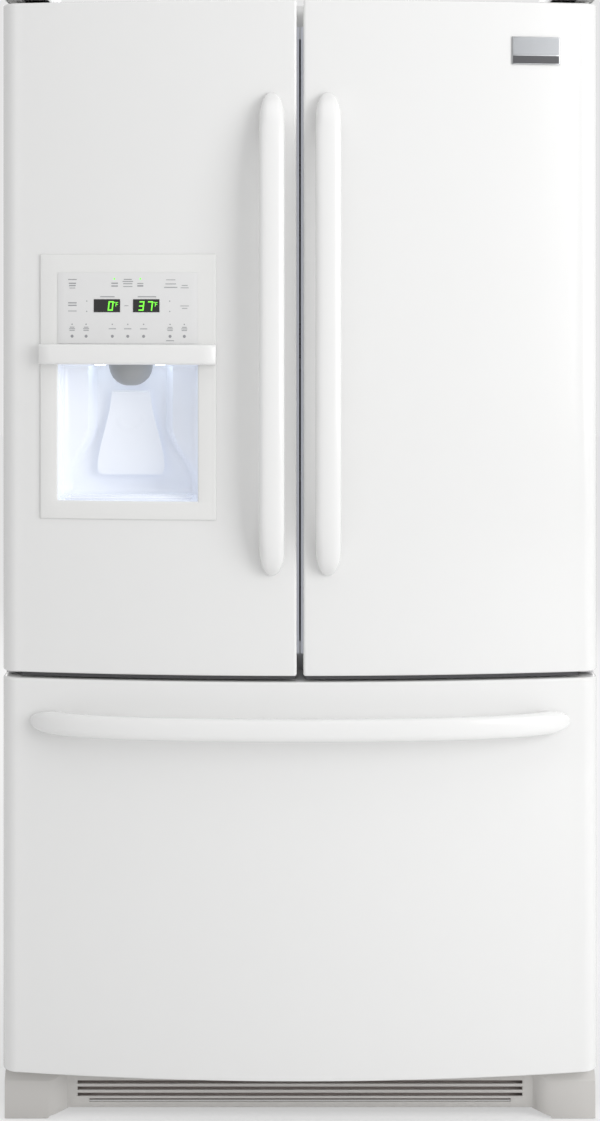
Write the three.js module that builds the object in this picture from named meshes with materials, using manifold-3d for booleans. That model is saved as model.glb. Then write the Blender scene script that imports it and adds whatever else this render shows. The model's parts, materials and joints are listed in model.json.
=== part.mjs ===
// A bottom-freezer refrigerator with two french doors, an ice and water dispenser and a freezer drawer.
// Millimetres, +Z up, the front faces -Y. Inside the assembly y = 0 is the front plane of the case.
import * as THREE from "three";
import { mergeVertices } from "three/addons/utils/BufferGeometryUtils.js";
import Module from "manifold-3d";

const wasm = await Module();
wasm.setup();

// ---------------------------------------------------------------- driving dimensions
const width = 908; // doors, drawer and case
const caseDepth = 690;
const caseTop = 1712;
const caseBottom = 62;
const caseSkin = 2;
const wallThickness = 52; // outer face of the case to the inside of a liner
const linerWall = 3;

const drawerBottom = 80;
const drawerTop = 680;
const frontGap = 9; // between the doors and the drawer
const topDrop = 7; // door top below the case top
const doorGap = 10; // between the two doors
const sealGap = 14; // door back to the case front
const doorEdgeDepth = 62; // door thickness at the side of the case
const bow = 40; // how far the middle of the front stands proud of its sides
const doorSkin = 2;
const outerCornerRadius = 27;
const innerCornerRadius = 4;

const hingeInset = 14; // hinge axis in from the side of the case
const hingeForward = 40; // hinge axis in front of the case
const pinRadius = 5;
const pinClearance = 0.4;
const pinDepth = 15; // length of a hinge pin inside its door

const railDrop = 30; // the divider between the compartments, below and above the drawer top
const railRise = 42;
const fridgeDepth = 560;
const floorRise = 50; // freezer floor above the bottom of the drawer front
const freezerDepth = 560;
const machineRoomDepth = 240; // from the back of the case
const machineRoomTop = 330;

const handleWidth = 38;
const handleStandoff = 52; // front of a handle proud of the door
const handleThickness = 18;
const doorHandleOffset = 42; // centre line of a door handle from the centre of the case
const doorHandleRise = 151; // lower end above the door's bottom edge
const doorHandleDrop = 139; // upper end below its top edge
const drawerHandleMargin = 44; // end of the handle in from the side of the case
const drawerHandleDrop = 63; // centre line below the drawer's top edge
const drawerHandleWidth = 34;

const nicheCentre = -260; // the dispenser, measured from the centre of the case
const bezelRise = 234; // bottom of the bezel above the door's bottom edge
const bezelWidth = 268;
const bezelMargin = 28; // bezel below the niche
const nicheWidth = 213;
const nicheHeight = 206;
const nicheDepth = 78;
const trimHeight = 30.5;
const panelHeight = 108.5;
const bezelHead = 27; // bezel above the control panel

const valveReach = 12; // the water inlet stands out of the back by this much
const glandRadius = 9; // the mains cord's gland, in the rear cover
const glandBore = 4.2;
const glandReach = 8; // it stands out of both sides of the sheet by this much

const seat = 0.3; // gap between two pieces that rest on each other
const run = 1; // gap between a moving piece and its neighbour

// ---------------------------------------------------------------- values that follow
const half = width / 2;
const doorBottom = drawerTop + frontGap;
const doorTop = caseTop - topDrop;
const railBottom = drawerTop - railDrop;
const railTop = drawerTop + railRise;
const fridgeCeiling = caseTop - wallThickness;
const freezerFloor = drawerBottom + floorRise;
const doorHandleBottom = doorBottom + doorHandleRise;
const doorHandleTop = doorTop - doorHandleDrop;
const drawerHandleHalf = half - drawerHandleMargin;
const drawerHandleHeight = drawerTop - drawerHandleDrop;
const bezelBottom = doorBottom + bezelRise;
const nicheBottom = bezelBottom + bezelMargin;
const nicheTop = nicheBottom + nicheHeight;
const trimTop = nicheTop + trimHeight;
const panelTop = trimTop + panelHeight;
const bezelTop = panelTop + bezelHead;
const doorBack = -sealGap;
const doorEdge = doorBack - doorEdgeDepth;
const bowRadius = (half * half + bow * bow) / (2 * bow);
const innerEdge = doorGap / 2;
const inside = half - wallThickness; // half width of both compartments
const axisX = half - hingeInset;
const axisY = -hingeForward;
const frontReach = -doorEdge + bow + handleStandoff;
const machineFront = caseDepth - machineRoomDepth;

// The bowed front of the doors and the drawer at a distance x from the centre.
const bowAt = (x) => Math.sqrt(bowRadius * bowRadius - x * x) - (bowRadius - bow);
const frontAt = (x) => doorEdge - bowAt(x);

// ---------------------------------------------------------------- shaping helpers
function solid(geometry) {
  const bare = geometry.index ? geometry.toNonIndexed() : geometry.clone();
  bare.deleteAttribute("normal");
  bare.deleteAttribute("uv");
  const merged = mergeVertices(bare, 1e-4);
  return new wasm.Manifold(
    new wasm.Mesh({
      numProp: 3,
      vertProperties: merged.attributes.position.array,
      triVerts: new Uint32Array(merged.index.array),
    }),
  );
}

function box(x0, x1, y0, y1, z0, z1) {
  const g = new THREE.BoxGeometry(Math.abs(x1 - x0), Math.abs(y1 - y0), Math.abs(z1 - z0));
  return solid(g.translate((x0 + x1) / 2, (y0 + y1) / 2, (z0 + z1) / 2));
}

const join = (first, ...rest) => rest.reduce((whole, s) => whole.add(s), first);
const cut = (first, ...rest) => rest.reduce((whole, s) => whole.subtract(s), first);

const v2 = (x, y) => new THREE.Vector2(x, y);
const v3 = (x, y, z) => new THREE.Vector3(x, y, z);

// Sweeps an outline along one axis. The outline is in y and z for x, in x and z for y, in x and y for z.
function sweep(outline, along, from, to) {
  const g = new THREE.ExtrudeGeometry(new THREE.Shape(outline), { depth: to - from, bevelEnabled: false });
  const frames = {
    x: [v3(0, 1, 0), v3(0, 0, 1), v3(1, 0, 0), v3(from, 0, 0)],
    y: [v3(1, 0, 0), v3(0, 0, 1), v3(0, -1, 0), v3(0, to, 0)],
    z: [v3(1, 0, 0), v3(0, 1, 0), v3(0, 0, 1), v3(0, 0, from)],
  };
  const [right, up, ahead, start] = frames[along];
  g.applyMatrix4(new THREE.Matrix4().makeBasis(right, up, ahead));
  return solid(g.translate(start.x, start.y, start.z));
}

// A rod of a given number of sides between two values on one axis; a and b place it on the other two axes.
function rod(along, radius, from, to, a, b, sides = 16, endRadius = radius) {
  const g = new THREE.CylinderGeometry(endRadius, radius, to - from, sides);
  const middle = (from + to) / 2;
  if (along === "x") g.rotateZ(-Math.PI / 2).translate(middle, a, b);
  if (along === "y") g.translate(a, middle, b);
  if (along === "z") g.rotateX(Math.PI / 2).translate(a, b, middle);
  return solid(g);
}

// A round tube along a curve.
function tube(curve, radius, sides, steps) {
  const ring = [];
  for (let i = 0; i < sides; i++) {
    const turn = (2 * Math.PI * i) / sides;
    ring.push(v2(radius * Math.cos(turn), radius * Math.sin(turn)));
  }
  const settings = { steps, extrudePath: curve, bevelEnabled: false };
  return solid(new THREE.ExtrudeGeometry(new THREE.Shape(ring), settings));
}

// A profile of radius and height, turned round a vertical axis at x, y.
function turned(profile, x, y, segments = 20) {
  return solid(new THREE.LatheGeometry(profile, segments).rotateX(Math.PI / 2).translate(x, y, 0));
}

// An open-topped tray: a box less its inside, which reaches out of the top.
function tray(x0, x1, y0, y1, z0, z1, wall) {
  const [left, right] = [Math.min(x0, x1), Math.max(x0, x1)];
  const inner = box(left + wall, right - wall, y0 + wall, y1 - wall, z0 + wall, z1 + wall);
  return cut(box(left, right, y0, y1, z0, z1), inner);
}

// Points of an arc from one angle to another, in degrees.
function arc(cx, cy, radius, from, to, steps) {
  const points = [];
  for (let i = 0; i <= steps; i++) {
    const turn = ((from + ((to - from) * i) / steps) * Math.PI) / 180;
    points.push(v2(cx + radius * Math.cos(turn), cy + radius * Math.sin(turn)));
  }
  return points;
}

// The plan of a door or drawer front between x0 and x1, pulled in by an inset, with its back at a given y.
function frontPlan(x0, x1, radius0, radius1, inset, back, segments) {
  const [left, right] = [x0 + inset, x1 - inset];
  const [r0, r1] = [Math.max(radius0 - inset, 1), Math.max(radius1 - inset, 1)];
  const points = [v2(left, back)];
  points.push(...arc(left + r0, frontAt(left + r0) + inset + r0, r0, 180, 270, r0 > 10 ? 5 : 2));
  for (let i = 1; i < segments; i++) {
    const x = left + r0 + ((right - r1 - left - r0) * i) / segments;
    points.push(v2(x, frontAt(x) + inset));
  }
  points.push(...arc(right - r1, frontAt(right - r1) + inset + r1, r1, 270, 360, r1 > 10 ? 5 : 2));
  points.push(v2(right, back));
  return points;
}

// The same plan on the left of the case when side is -1.
const mirrored = (points, side) => points.map((p) => v2(p.x * side, p.y));

// A slab that follows the bowed front between x0 and x1, from proudBack to proudFront in front of it.
function bowedSlab(x0, x1, proudBack, proudFront, z0, z1, segments = 8) {
  const ahead = [];
  const behind = [];
  for (let i = 0; i <= segments; i++) {
    const x = x0 + ((x1 - x0) * i) / segments;
    ahead.push(v2(x, frontAt(x) - proudFront));
    behind.unshift(v2(x, frontAt(x) - proudBack));
  }
  return sweep([...ahead, ...behind], "z", z0, z1);
}

// ---------------------------------------------------------------- assembly
const refrigerator = new THREE.Group();
const depth = frontReach + caseDepth + valveReach;
refrigerator.position.y = frontReach - depth / 2;

const finishes = {
  white_paint: { color: 0xf1f1ef, roughness: 0.25, metalness: 0 },
  white_plastic: { color: 0xeeeeec, roughness: 0.45, metalness: 0 },
  grey_plastic: { color: 0xb3b2ae, roughness: 0.5, metalness: 0 },
  black_plastic: { color: 0x202124, roughness: 0.45, metalness: 0 },
  clear_plastic: { color: 0xdfe8ea, roughness: 0.15, metalness: 0 },
  seal_rubber: { color: 0xd6d6d3, roughness: 0.7, metalness: 0 },
  steel: { color: 0x9a9c9e, roughness: 0.4, metalness: 0.9 },
  coated_steel: { color: 0x2a2b2d, roughness: 0.5, metalness: 0.2 },
  galvanised: { color: 0xa9acae, roughness: 0.5, metalness: 0.7 },
  foam: { color: 0xe6d9a8, roughness: 0.9, metalness: 0 },
  glass: { color: 0xcfe3df, roughness: 0.08, metalness: 0 },
  panel_grey: { color: 0xe4e4e6, roughness: 0.35, metalness: 0 },
};

function place(name, shape, finish) {
  const { vertProperties, triVerts } = shape.getMesh();
  const geometry = new THREE.BufferGeometry();
  geometry.setAttribute("position", new THREE.BufferAttribute(new Float32Array(vertProperties), 3));
  geometry.setIndex(new THREE.BufferAttribute(new Uint32Array(triVerts), 1));
  geometry.computeVertexNormals();
  const mesh = new THREE.Mesh(geometry, new THREE.MeshStandardMaterial(finishes[finish]));
  mesh.name = name;
  refrigerator.add(mesh);
}
const sides = [
  ["left", -1],
  ["right", 1],
];

// ---------------------------------------------------------------- cabinet
const crisperRoom = 234; // height under the crisper cover
// The shelves divide the space between the crisper cover and the ceiling.
const shelfShares = { full: 23 / 88, milk_side: 17 / 32, ice_side: 21 / 32 };
const shelfLevels = { crisper: railTop + crisperRoom };
for (const [name, share] of Object.entries(shelfShares))
  shelfLevels[name] = shelfLevels.crisper + (fridgeCeiling - shelfLevels.crisper) * share;
const shelfThickness = 14;
const shelfFront = 135;
const shelfBack = fridgeDepth - seat;
const ledge = 12; // how far a moulded shelf ledge stands off the liner
const ledgeHeight = 10;
const machineWall = 45; // foam between the freezer and the machine room
const freezerStepDepth = machineFront - machineWall;
const freezerStep = machineRoomTop + machineWall;
const baseBottom = 40;
const railWidth = 40;

function cabinetShell() {
  const outside = box(-half, half, 0, caseDepth, caseBottom, caseTop);
  const reach = half - caseSkin;
  const hollow = box(-reach, reach, caseSkin, caseDepth + 1, caseBottom - 1, caseTop - caseSkin);
  const fridgeMouth = box(-inside, inside, -1, caseSkin + 1, railTop, fridgeCeiling);
  const freezerMouth = box(-inside, inside, -1, caseSkin + 1, freezerFloor, railBottom);
  return cut(outside, hollow, fridgeMouth, freezerMouth);
}

function fridgeLinerBlock() {
  const edge = inside + linerWall;
  return box(-edge, edge, caseSkin, fridgeDepth + linerWall, railTop - linerWall, fridgeCeiling + linerWall);
}

function fridgeLiner() {
  const cavity = box(-inside, inside, 0, fridgeDepth, railTop, fridgeCeiling);
  const ledges = [];
  const addLedge = (level, x0, x1) => {
    const [z0, z1] = [level - ledgeHeight, level];
    if (x0 < 0) ledges.push(box(-inside - 1, -inside + ledge, shelfFront, fridgeDepth, z0, z1));
    if (x1 > 0) ledges.push(box(inside - ledge, inside + 1, shelfFront, fridgeDepth, z0, z1));
    ledges.push(box(x0, x1, fridgeDepth - ledge, fridgeDepth + 1, z0, z1));
  };
  addLedge(shelfLevels.ice_side, -inside, 0);
  addLedge(shelfLevels.milk_side, 0, inside);
  addLedge(shelfLevels.full, -inside, inside);
  addLedge(shelfLevels.crisper, -inside, inside);
  return join(cut(fridgeLinerBlock(), cavity), ...ledges);
}

// The freezer is shallower below, where the machine room takes the back of the case.
function freezerSpace(grow) {
  const edge = inside + grow;
  const [low, high] = [freezerFloor - grow, railBottom + grow];
  const lower = box(-edge, edge, caseSkin - (grow ? 0 : 1), freezerStepDepth + grow, low, high);
  const upper = box(-edge, edge, caseSkin - (grow ? 0 : 1), freezerDepth + grow, freezerStep - grow, high);
  return join(lower, upper);
}

function insulationFoam() {
  const edge = half - caseSkin;
  const block = box(-edge, edge, caseSkin, caseDepth - caseSkin, caseBottom, caseTop - caseSkin);
  const machineRoom = box(-half, half, machineFront, caseDepth, caseBottom - 1, machineRoomTop);
  return cut(block, fridgeLinerBlock(), freezerSpace(linerWall), machineRoom);
}

const glandX = half - 74;
const glandZ = caseBottom + 52;

function machineCover() {
  const [y0, y1] = [caseDepth - caseSkin, caseDepth];
  const edge = half - caseSkin;
  const slots = [];
  const [slotWidth, slotHeight, slotPitch, slotRows] = [150, 8, 24, 6];
  for (const centre of [-250, 0, 250])
    for (let row = 0; row < slotRows; row++) {
      const z = machineRoomTop - 60 - row * slotPitch;
      slots.push(box(centre - slotWidth / 2, centre + slotWidth / 2, y0 - 1, y1 + 1, z, z + slotHeight));
    }
  const inletHole = rod("y", valveInletRadius + run, y0 - 2, y1 + 2, valveX, valveZ);
  const gland = rod("y", glandRadius, y0 - glandReach, y1 + glandReach, glandX, glandZ);
  const glandHole = rod("y", glandBore, y0 - glandReach - 1, y1 + glandReach + 1, glandX, glandZ);
  const sheet = join(box(-edge, edge, y0, y1, caseBottom, machineRoomTop), gland);
  return cut(sheet, ...slots, inletHole, glandHole);
}

// ---------------------------------------------------------------- base, feet and rollers
const rollerRadius = 23;
const rollerWidth = 20;
const rollerBore = 5;
const axleRadius = 4.5;
const rollerX = half - railWidth - 14;
const rollerY = caseDepth - 70;
const legX = half - 26;
const legY = 32;
const legRadius = 6;
const footRadius = 19;
const footHeight = 8;
const trayThickness = 3;

function baseFrame() {
  const [front, back] = [8, caseDepth - 6];
  const pieces = [
    box(-half + 4, half - 4, front, front + 50, baseBottom, caseBottom),
    box(-half + 4, half - 4, machineFront, back, caseBottom - trayThickness, caseBottom),
  ];
  for (const [, side] of sides) {
    pieces.push(box(side * (half - railWidth), side * (half - 2), front, back, baseBottom, caseBottom));
    // two ears and an axle carry the rear roller
    const innerEar = Math.abs(rollerX) - rollerWidth / 2 - run;
    const outerEar = Math.abs(rollerX) + rollerWidth / 2 + run;
    const low = rollerRadius - 10;
    const [y0, y1] = [rollerY - 14, rollerY + 14];
    pieces.push(box(side * (innerEar - 4), side * innerEar, y0, y1, low, caseBottom - 1));
    pieces.push(box(side * outerEar, side * (half - railWidth + 6), y0, y1, low, baseBottom + 2));
    const [x0, x1] = [side * (innerEar - 2), side * (outerEar + 2)].sort((p, q) => p - q);
    pieces.push(rod("x", axleRadius, x0, x1, rollerY, rollerRadius));
  }
  const whole = join(...pieces);
  const holes = sides.map(([, side]) => {
    return rod("z", legRadius + pinClearance, baseBottom - 1, caseBottom + 1, side * legX, legY);
  });
  return cut(whole, ...holes);
}

function roller(side) {
  const wheel = rod("x", rollerRadius, -rollerWidth / 2, rollerWidth / 2, rollerY, rollerRadius, 24);
  const bore = rod("x", rollerBore, -rollerWidth, rollerWidth, rollerY, rollerRadius);
  return cut(wheel, bore).translate([side * rollerX, 0, 0]);
}

function levelingLeg(side) {
  const foot = rod("z", footRadius, 0, footHeight, side * legX, legY, 20, footRadius - 4);
  const stud = rod("z", legRadius, footHeight - 1, caseBottom - 2, side * legX, legY);
  return join(foot, stud);
}

// ---------------------------------------------------------------- machine room
const compressorX = 215;
const compressorY = machineFront + 118;
const compressorRadius = 76;
const fanX = 20;
const fanY = machineFront + 118;
const fanZ = 178;
const fanRadius = 72;
const shroudThickness = 4;
const motorRadius = 22;
const shaftRadius = 3;
const coilX = -150;
const valveX = -350;
const valveZ = 230;
const valveInletRadius = 13;

function compressor() {
  const base = caseBottom + 14;
  const shape = turned(
    [v2(0, base), v2(58, base), ...arc(54, base + 22, 22, -60, 0, 3), v2(compressorRadius, base + 96),
      ...arc(compressorRadius - 44, base + 96, 44, 15, 75, 4), v2(0, base + 142)],
    compressorX, compressorY,
  );
  const [plateReach, plateSide] = [95, 62];
  const plate = box(compressorX - plateReach, compressorX + plateReach,
    compressorY - plateSide, compressorY + plateSide, base - 3, base + 3);
  const feet = [];
  for (const sx of [-1, 1])
    for (const sy of [-1, 1])
      feet.push(rod("z", 12, caseBottom + seat, base - 2, compressorX + sx * 80, compressorY + sy * 48, 12));
  return join(shape, plate, ...feet);
}

// A serpentine tube in stacked rows, tied by two side plates that stand on the tray.
function condenserCoil() {
  const [tubeRadius, rows, pitch, reach] = [4, 7, 26, 78];
  const path = new THREE.CurvePath();
  const bottom = caseBottom + 26;
  for (let row = 0; row < rows; row++) {
    const z = bottom + row * pitch;
    const way = row % 2 ? -1 : 1;
    const [from, to] = [coilYAt(-way * reach), coilYAt(way * reach)];
    path.add(new THREE.LineCurve3(v3(coilX, from, z), v3(coilX, to, z)));
    if (row < rows - 1) {
      const swing = way * pitch * 0.66;
      path.add(new THREE.CubicBezierCurve3(
        v3(coilX, to, z), v3(coilX, to + swing, z),
        v3(coilX, to + swing, z + pitch), v3(coilX, to, z + pitch),
      ));
    }
  }
  const steps = rows * 8;
  const plates = [-1, 1].map((way) => {
    const y = coilYAt(way * (reach - 14));
    return box(coilX - 22, coilX + 22, y - 1.5, y + 1.5, caseBottom + seat, bottom + rows * pitch);
  });
  return join(tube(path, tubeRadius, 6, steps), ...plates);
}
const coilYAt = (offset) => machineFront + 118 + offset;

function fanShroud() {
  const [y0, y1] = [machineFront + 22, caseDepth - 26];
  const wall = box(fanX, fanX + shroudThickness, y0, y1, caseBottom + seat, fanZ + fanRadius + 22);
  const hole = rod("x", fanRadius + 3, fanX - 1, fanX + shroudThickness + 1, fanY, fanZ, 28);
  const motorEnd = fanX + 62;
  const motor = rod("x", motorRadius, fanX + 24, motorEnd, fanY, fanZ, 16);
  const shaft = rod("x", shaftRadius, fanX - 16, fanX + 30, fanY, fanZ, 12);
  const [armRadius, armEnd] = [3, fanX + 40];
  const arms = [];
  for (const turn of [90, 210, 330]) {
    const a = (turn * Math.PI) / 180;
    const out = v3(fanX + 2, fanY + 86 * Math.cos(a), fanZ + 86 * Math.sin(a));
    const bend = v3(armEnd, fanY + 60 * Math.cos(a), fanZ + 60 * Math.sin(a));
    const into = v3(armEnd, fanY + 12 * Math.cos(a), fanZ + 12 * Math.sin(a));
    arms.push(tube(new THREE.LineCurve3(out, bend), armRadius, 6, 1));
    arms.push(tube(new THREE.LineCurve3(bend, into), armRadius, 6, 1));
  }
  return join(cut(wall, hole), motor, shaft, ...arms);
}

function condenserFan() {
  const hub = rod("x", 16, fanX - 12, fanX + 14, 0, 0, 16);
  const blades = [];
  for (let i = 0; i < 5; i++) {
    const blade = box(-11, 11, 12, fanRadius - 4, -1, 1);
    const leaned = blade.rotate([0, 32, 0]).translate([fanX + 1, 0, 0]).rotate([72 * i, 0, 0]);
    blades.push(leaned);
  }
  const bore = rod("x", shaftRadius + pinClearance, fanX - 20, fanX + 20, 0, 0, 12);
  return cut(join(hub, ...blades), bore).translate([0, fanY, fanZ]);
}

function waterValve() {
  const back = caseDepth - caseSkin - seat;
  const body = box(valveX - 28, valveX + 28, back - 46, back, valveZ - 26, valveZ + 26);
  const solenoid = rod("z", 15, valveZ + 20, valveZ + 62, valveX, back - 24, 14);
  const inlet = rod("y", valveInletRadius, back - 1, caseDepth + valveReach, valveX, valveZ, 20);
  const bore = rod("y", 6, caseDepth - 12, caseDepth + valveReach + 1, valveX, valveZ, 12);
  return cut(join(body, solenoid, inlet), bore);
}

// ---------------------------------------------------------------- refrigerator compartment
const trayWall = 3;
const crisperInner = 15; // from the centre of the case
const crisperOuter = axisX - 105; // its front corner clears the swinging door
const crisperFront = 135;
const crisperBack = fridgeDepth - 30;
const crisperHeight = 216;
const lipReach = 12;

function shelf(x0, x1, level) {
  const z0 = level + seat;
  const plate = box(x0 + run, x1 - run, shelfFront, shelfBack, z0, z0 + shelfThickness);
  const rim = box(x0 + run, x1 - run, shelfFront, shelfFront + 10, z0 - 6, z0 + shelfThickness + 4);
  const ledgeRoom = sides.map(([, side]) => {
    const [inner, outer] = [side * (inside - ledge - run), side * inside];
    return box(inner, outer, shelfFront - 1, shelfFront + 11, z0 - 8, z0);
  });
  return cut(join(plate, rim), ...ledgeRoom);
}

function crisper(side) {
  const z0 = railTop + seat;
  const [x0, x1] = [side * crisperInner, side * crisperOuter];
  const bin = tray(x0, x1, crisperFront, crisperBack, z0, z0 + crisperHeight, trayWall);
  const lipBottom = z0 + crisperHeight - 16;
  const lip = box(x0, x1, crisperFront - lipReach, crisperFront + 1, lipBottom, z0 + crisperHeight);
  const grip = box(x0, x1, crisperFront - lipReach, crisperFront - lipReach + 3,
    z0 + crisperHeight - 34, z0 + crisperHeight - 15);
  return join(bin, lip, grip);
}

const iceBoxFront = 140;
const iceBoxBack = fridgeDepth - 20;
const iceBoxInner = -inside + 212;
const iceWall = 4;
const chuteMouth = 74;

function iceMakerHousing() {
  const low = shelfLevels.ice_side + shelfThickness + 12;
  const [x0, x1] = [-inside + seat, iceBoxInner];
  const [z0, z1] = [low, fridgeCeiling - seat];
  const outside = box(x0, x1, iceBoxFront, iceBoxBack, z0, z1);
  const hollow = box(x0 + iceWall, x1 - iceWall,
    iceBoxFront + iceWall, iceBoxBack - iceWall, z0 + iceWall, z1 - iceWall);
  const mouthX = (x0 + x1) / 2;
  const mouth = box(mouthX - chuteMouth / 2, mouthX + chuteMouth / 2,
    iceBoxFront - 1, iceBoxFront + iceWall + 1, z0 + 12, z0 + 12 + chuteMouth);
  return cut(outside, hollow, mouth);
}

// ---------------------------------------------------------------- freezer compartment
const slideLevel = freezerStep + 27; // middle of the drawer slides
const slideHalf = 20;
const slideLength = 480;
const slideFront = 20;
const slidePlate = 3;
const slideOpen = 14; // how far the lips of the fixed channel reach in
const bracketThickness = 10;
const basketHalf = inside - 36;
const lowerBasketFront = 12;
const lowerBasketBottom = freezerFloor + 14;
const lowerBasketTop = slideLevel + 68;
const upperBasketBottom = lowerBasketTop + 22;
const upperBasketTop = railBottom - 10;
const upperBasketFront = 24;
const upperBasketBack = freezerDepth - 20;
const upperLedge = (upperBasketBottom + upperBasketTop) / 2 + 6;

function freezerLiner() {
  const ledges = sides.map(([, side]) => {
    return box(side * (inside - 20), side * (inside + 1), 20, freezerDepth, upperLedge - 8, upperLedge);
  });
  return join(cut(freezerSpace(linerWall), freezerSpace(0)), ...ledges);
}

function slideRail(side) {
  const outer = inside - seat;
  const [low, high] = [slideLevel - slideHalf, slideLevel + slideHalf];
  const [y0, y1] = [slideFront, slideFront + slideLength];
  const block = box(side * (outer - slideOpen), side * outer, y0, y1, low, high);
  const channel = box(side * (outer - slideOpen - 1), side * (outer - slidePlate), y0 - 1, y1 + 1,
    low + slidePlate, high - slidePlate);
  return cut(block, channel);
}

function slideMiddle(side) {
  const outer = inside - seat - slidePlate - seat;
  const inner = inside - seat - slideOpen;
  const tall = slideHalf - slidePlate - seat;
  const back = slideFront + slideLength;
  return box(side * inner, side * outer, slideFront, back, slideLevel - tall, slideLevel + tall);
}

function drawerBracket(side) {
  const outer = inside - seat - slideOpen - seat;
  const inner = outer - bracketThickness;
  const tall = slideHalf - slidePlate - 6;
  const back = slideFront + slideLength - 20;
  const front = doorBack + seat;
  const bar = box(side * inner, side * outer, front, back, slideLevel - tall, slideLevel + tall);
  const flange = box(side * (outer - 34), side * outer, front, front + 4, slideLevel - 60, slideLevel + 60);
  return join(bar, flange);
}

function lowerBasket() {
  const lipLevel = slideLevel + slideHalf - slidePlate - 6 + seat;
  const back = freezerStepDepth - 12;
  const bin = tray(-basketHalf, basketHalf,
    lowerBasketFront, back, lowerBasketBottom, lowerBasketTop, trayWall);
  const lipOuter = inside - slideOpen - 3;
  const lips = sides.map(([, side]) => {
    return box(side * (basketHalf - 1), side * lipOuter, lowerBasketFront, back, lipLevel, lipLevel + 5);
  });
  return join(bin, ...lips);
}

function upperBasket() {
  const bin = tray(-basketHalf, basketHalf,
    upperBasketFront, upperBasketBack, upperBasketBottom, upperBasketTop, trayWall);
  const lips = sides.map(([, side]) => {
    return box(side * (basketHalf - 1), side * (inside - 3), upperBasketFront, upperBasketBack,
      upperLedge + seat, upperLedge + seat + 5);
  });
  return join(bin, ...lips);
}

// ---------------------------------------------------------------- doors
const panelSeat = doorSkin + seat; // from the outside of a skin to the panel inside it
const dikeInner = 45; // where the raised wall of a door liner starts, from the centre of the case
const dikeWidth = 22;
const dikeReach = 45; // into the compartment
const dikeOuter = inside - 14;
const dikeBottom = railTop + 16;
const dikeTop = fridgeCeiling - 16;
const gasketOuter = half - 29;
const gasketWidth = 18;
const gasketInner = 8; // from the centre of the case
const gasketBack = doorBack + seat;
const gasketFront = -run;

// A block whose front follows the bow and whose back is flat.
function bowedBlock(x0, x1, proud, back, z0, z1, segments = 8) {
  const points = [v2(x1, back), v2(x0, back)];
  for (let i = 0; i <= segments; i++) {
    const x = x0 + ((x1 - x0) * i) / segments;
    points.push(v2(x, frontAt(x) - proud));
  }
  return sweep(points, "z", z0, z1);
}

function doorPlan(side, inset, back) {
  return mirrored(frontPlan(innerEdge, half, innerCornerRadius, outerCornerRadius, inset, back, 10), side);
}

function pinHoles(side) {
  const radius = pinRadius + pinClearance;
  return [
    rod("z", radius, doorBottom - 1, doorBottom + pinDepth, side * axisX, axisY),
    rod("z", radius, doorTop - pinDepth, doorTop + 1, side * axisX, axisY),
  ];
}

function doorSkinShell(side) {
  const outside = sweep(doorPlan(side, 0, doorBack), "z", doorBottom, doorTop);
  const innerPlan = doorPlan(side, doorSkin, doorBack + 1);
  const hollow = sweep(innerPlan, "z", doorBottom + doorSkin, doorTop - doorSkin);
  return cut(outside, hollow, ...pinHoles(side));
}

// The foamed inner panel of a door, with a raised wall all round that holds the bins.
function doorPanel(side) {
  const plan = doorPlan(side, panelSeat, doorBack);
  const block = sweep(plan, "z", doorBottom + panelSeat, doorTop - panelSeat);
  const ring = cut(
    box(side * dikeInner, side * dikeOuter, doorBack - 1, dikeReach, dikeBottom, dikeTop),
    box(side * (dikeInner + dikeWidth), side * (dikeOuter - dikeWidth), doorBack, dikeReach + 1,
      dikeBottom + dikeWidth, dikeTop - dikeWidth),
  );
  return cut(join(block, ring), ...pinHoles(side));
}

function frameSeal(x0, x1, z0, z1, width) {
  const outside = box(x0, x1, gasketBack, gasketFront, z0, z1);
  const [left, right] = [Math.min(x0, x1), Math.max(x0, x1)];
  const middle = box(left + width, right - width, gasketBack - 1, gasketFront + 1, z0 + width, z1 - width);
  return cut(outside, middle);
}

function doorGasket(side) {
  return frameSeal(side * gasketInner, side * gasketOuter, railTop - 22, fridgeCeiling + 22, gasketWidth);
}

function doorBin(side, z0, height, reach) {
  const edge = dikeWidth + seat;
  const [x0, x1] = [side * (dikeInner + edge), side * (dikeOuter - edge)];
  return tray(x0, x1, doorBack + seat, reach, z0, z0 + height, trayWall);
}

// ---------------------------------------------------------------- handles
// Height of a handle off its door, as a share of its standoff, at u = -1 to 1 along it.
const archAt = (u, power) => Math.sqrt(Math.max(0, 1 - Math.abs(u) ** power));

// Outline of a handle along its length: an outer arch, a foot at each end and the finger gap between them.
function handleOutline(from, to, surfaceAt, foot) {
  const [middle, reach] = [(from + to) / 2, (to - from) / 2];
  const steps = 20;
  const root = 3; // feet run into the door and are then trimmed to its surface
  const outer = [];
  const inner = [];
  for (let i = 0; i <= steps; i++) {
    const u = Math.sin((Math.PI / 2) * ((2 * i) / steps - 1));
    const s = middle + u * reach;
    outer.push(v2(s, surfaceAt(s) - handleStandoff * archAt(u, 4)));
    const t = middle + u * (reach - foot);
    inner.unshift(v2(t, surfaceAt(t) + root - (handleStandoff - handleThickness + root) * archAt(u, 5)));
  }
  return [v2(from, surfaceAt(from) + root), ...outer, v2(to, surfaceAt(to) + root), ...inner];
}

// A long outline with half-ellipse ends, seen from the front.
function ellipseEnded(from, to, halfWidth, endLength) {
  const points = [];
  for (const [end, way, start] of [[to, 1, -90], [from, -1, 90]])
    for (let i = 0; i <= 8; i++) {
      const turn = ((start + 22.5 * i) * Math.PI) / 180;
      const along = end - way * endLength + endLength * Math.cos(turn);
      points.push(v2(along, halfWidth * Math.sin(turn)));
    }
  return points;
}

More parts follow.
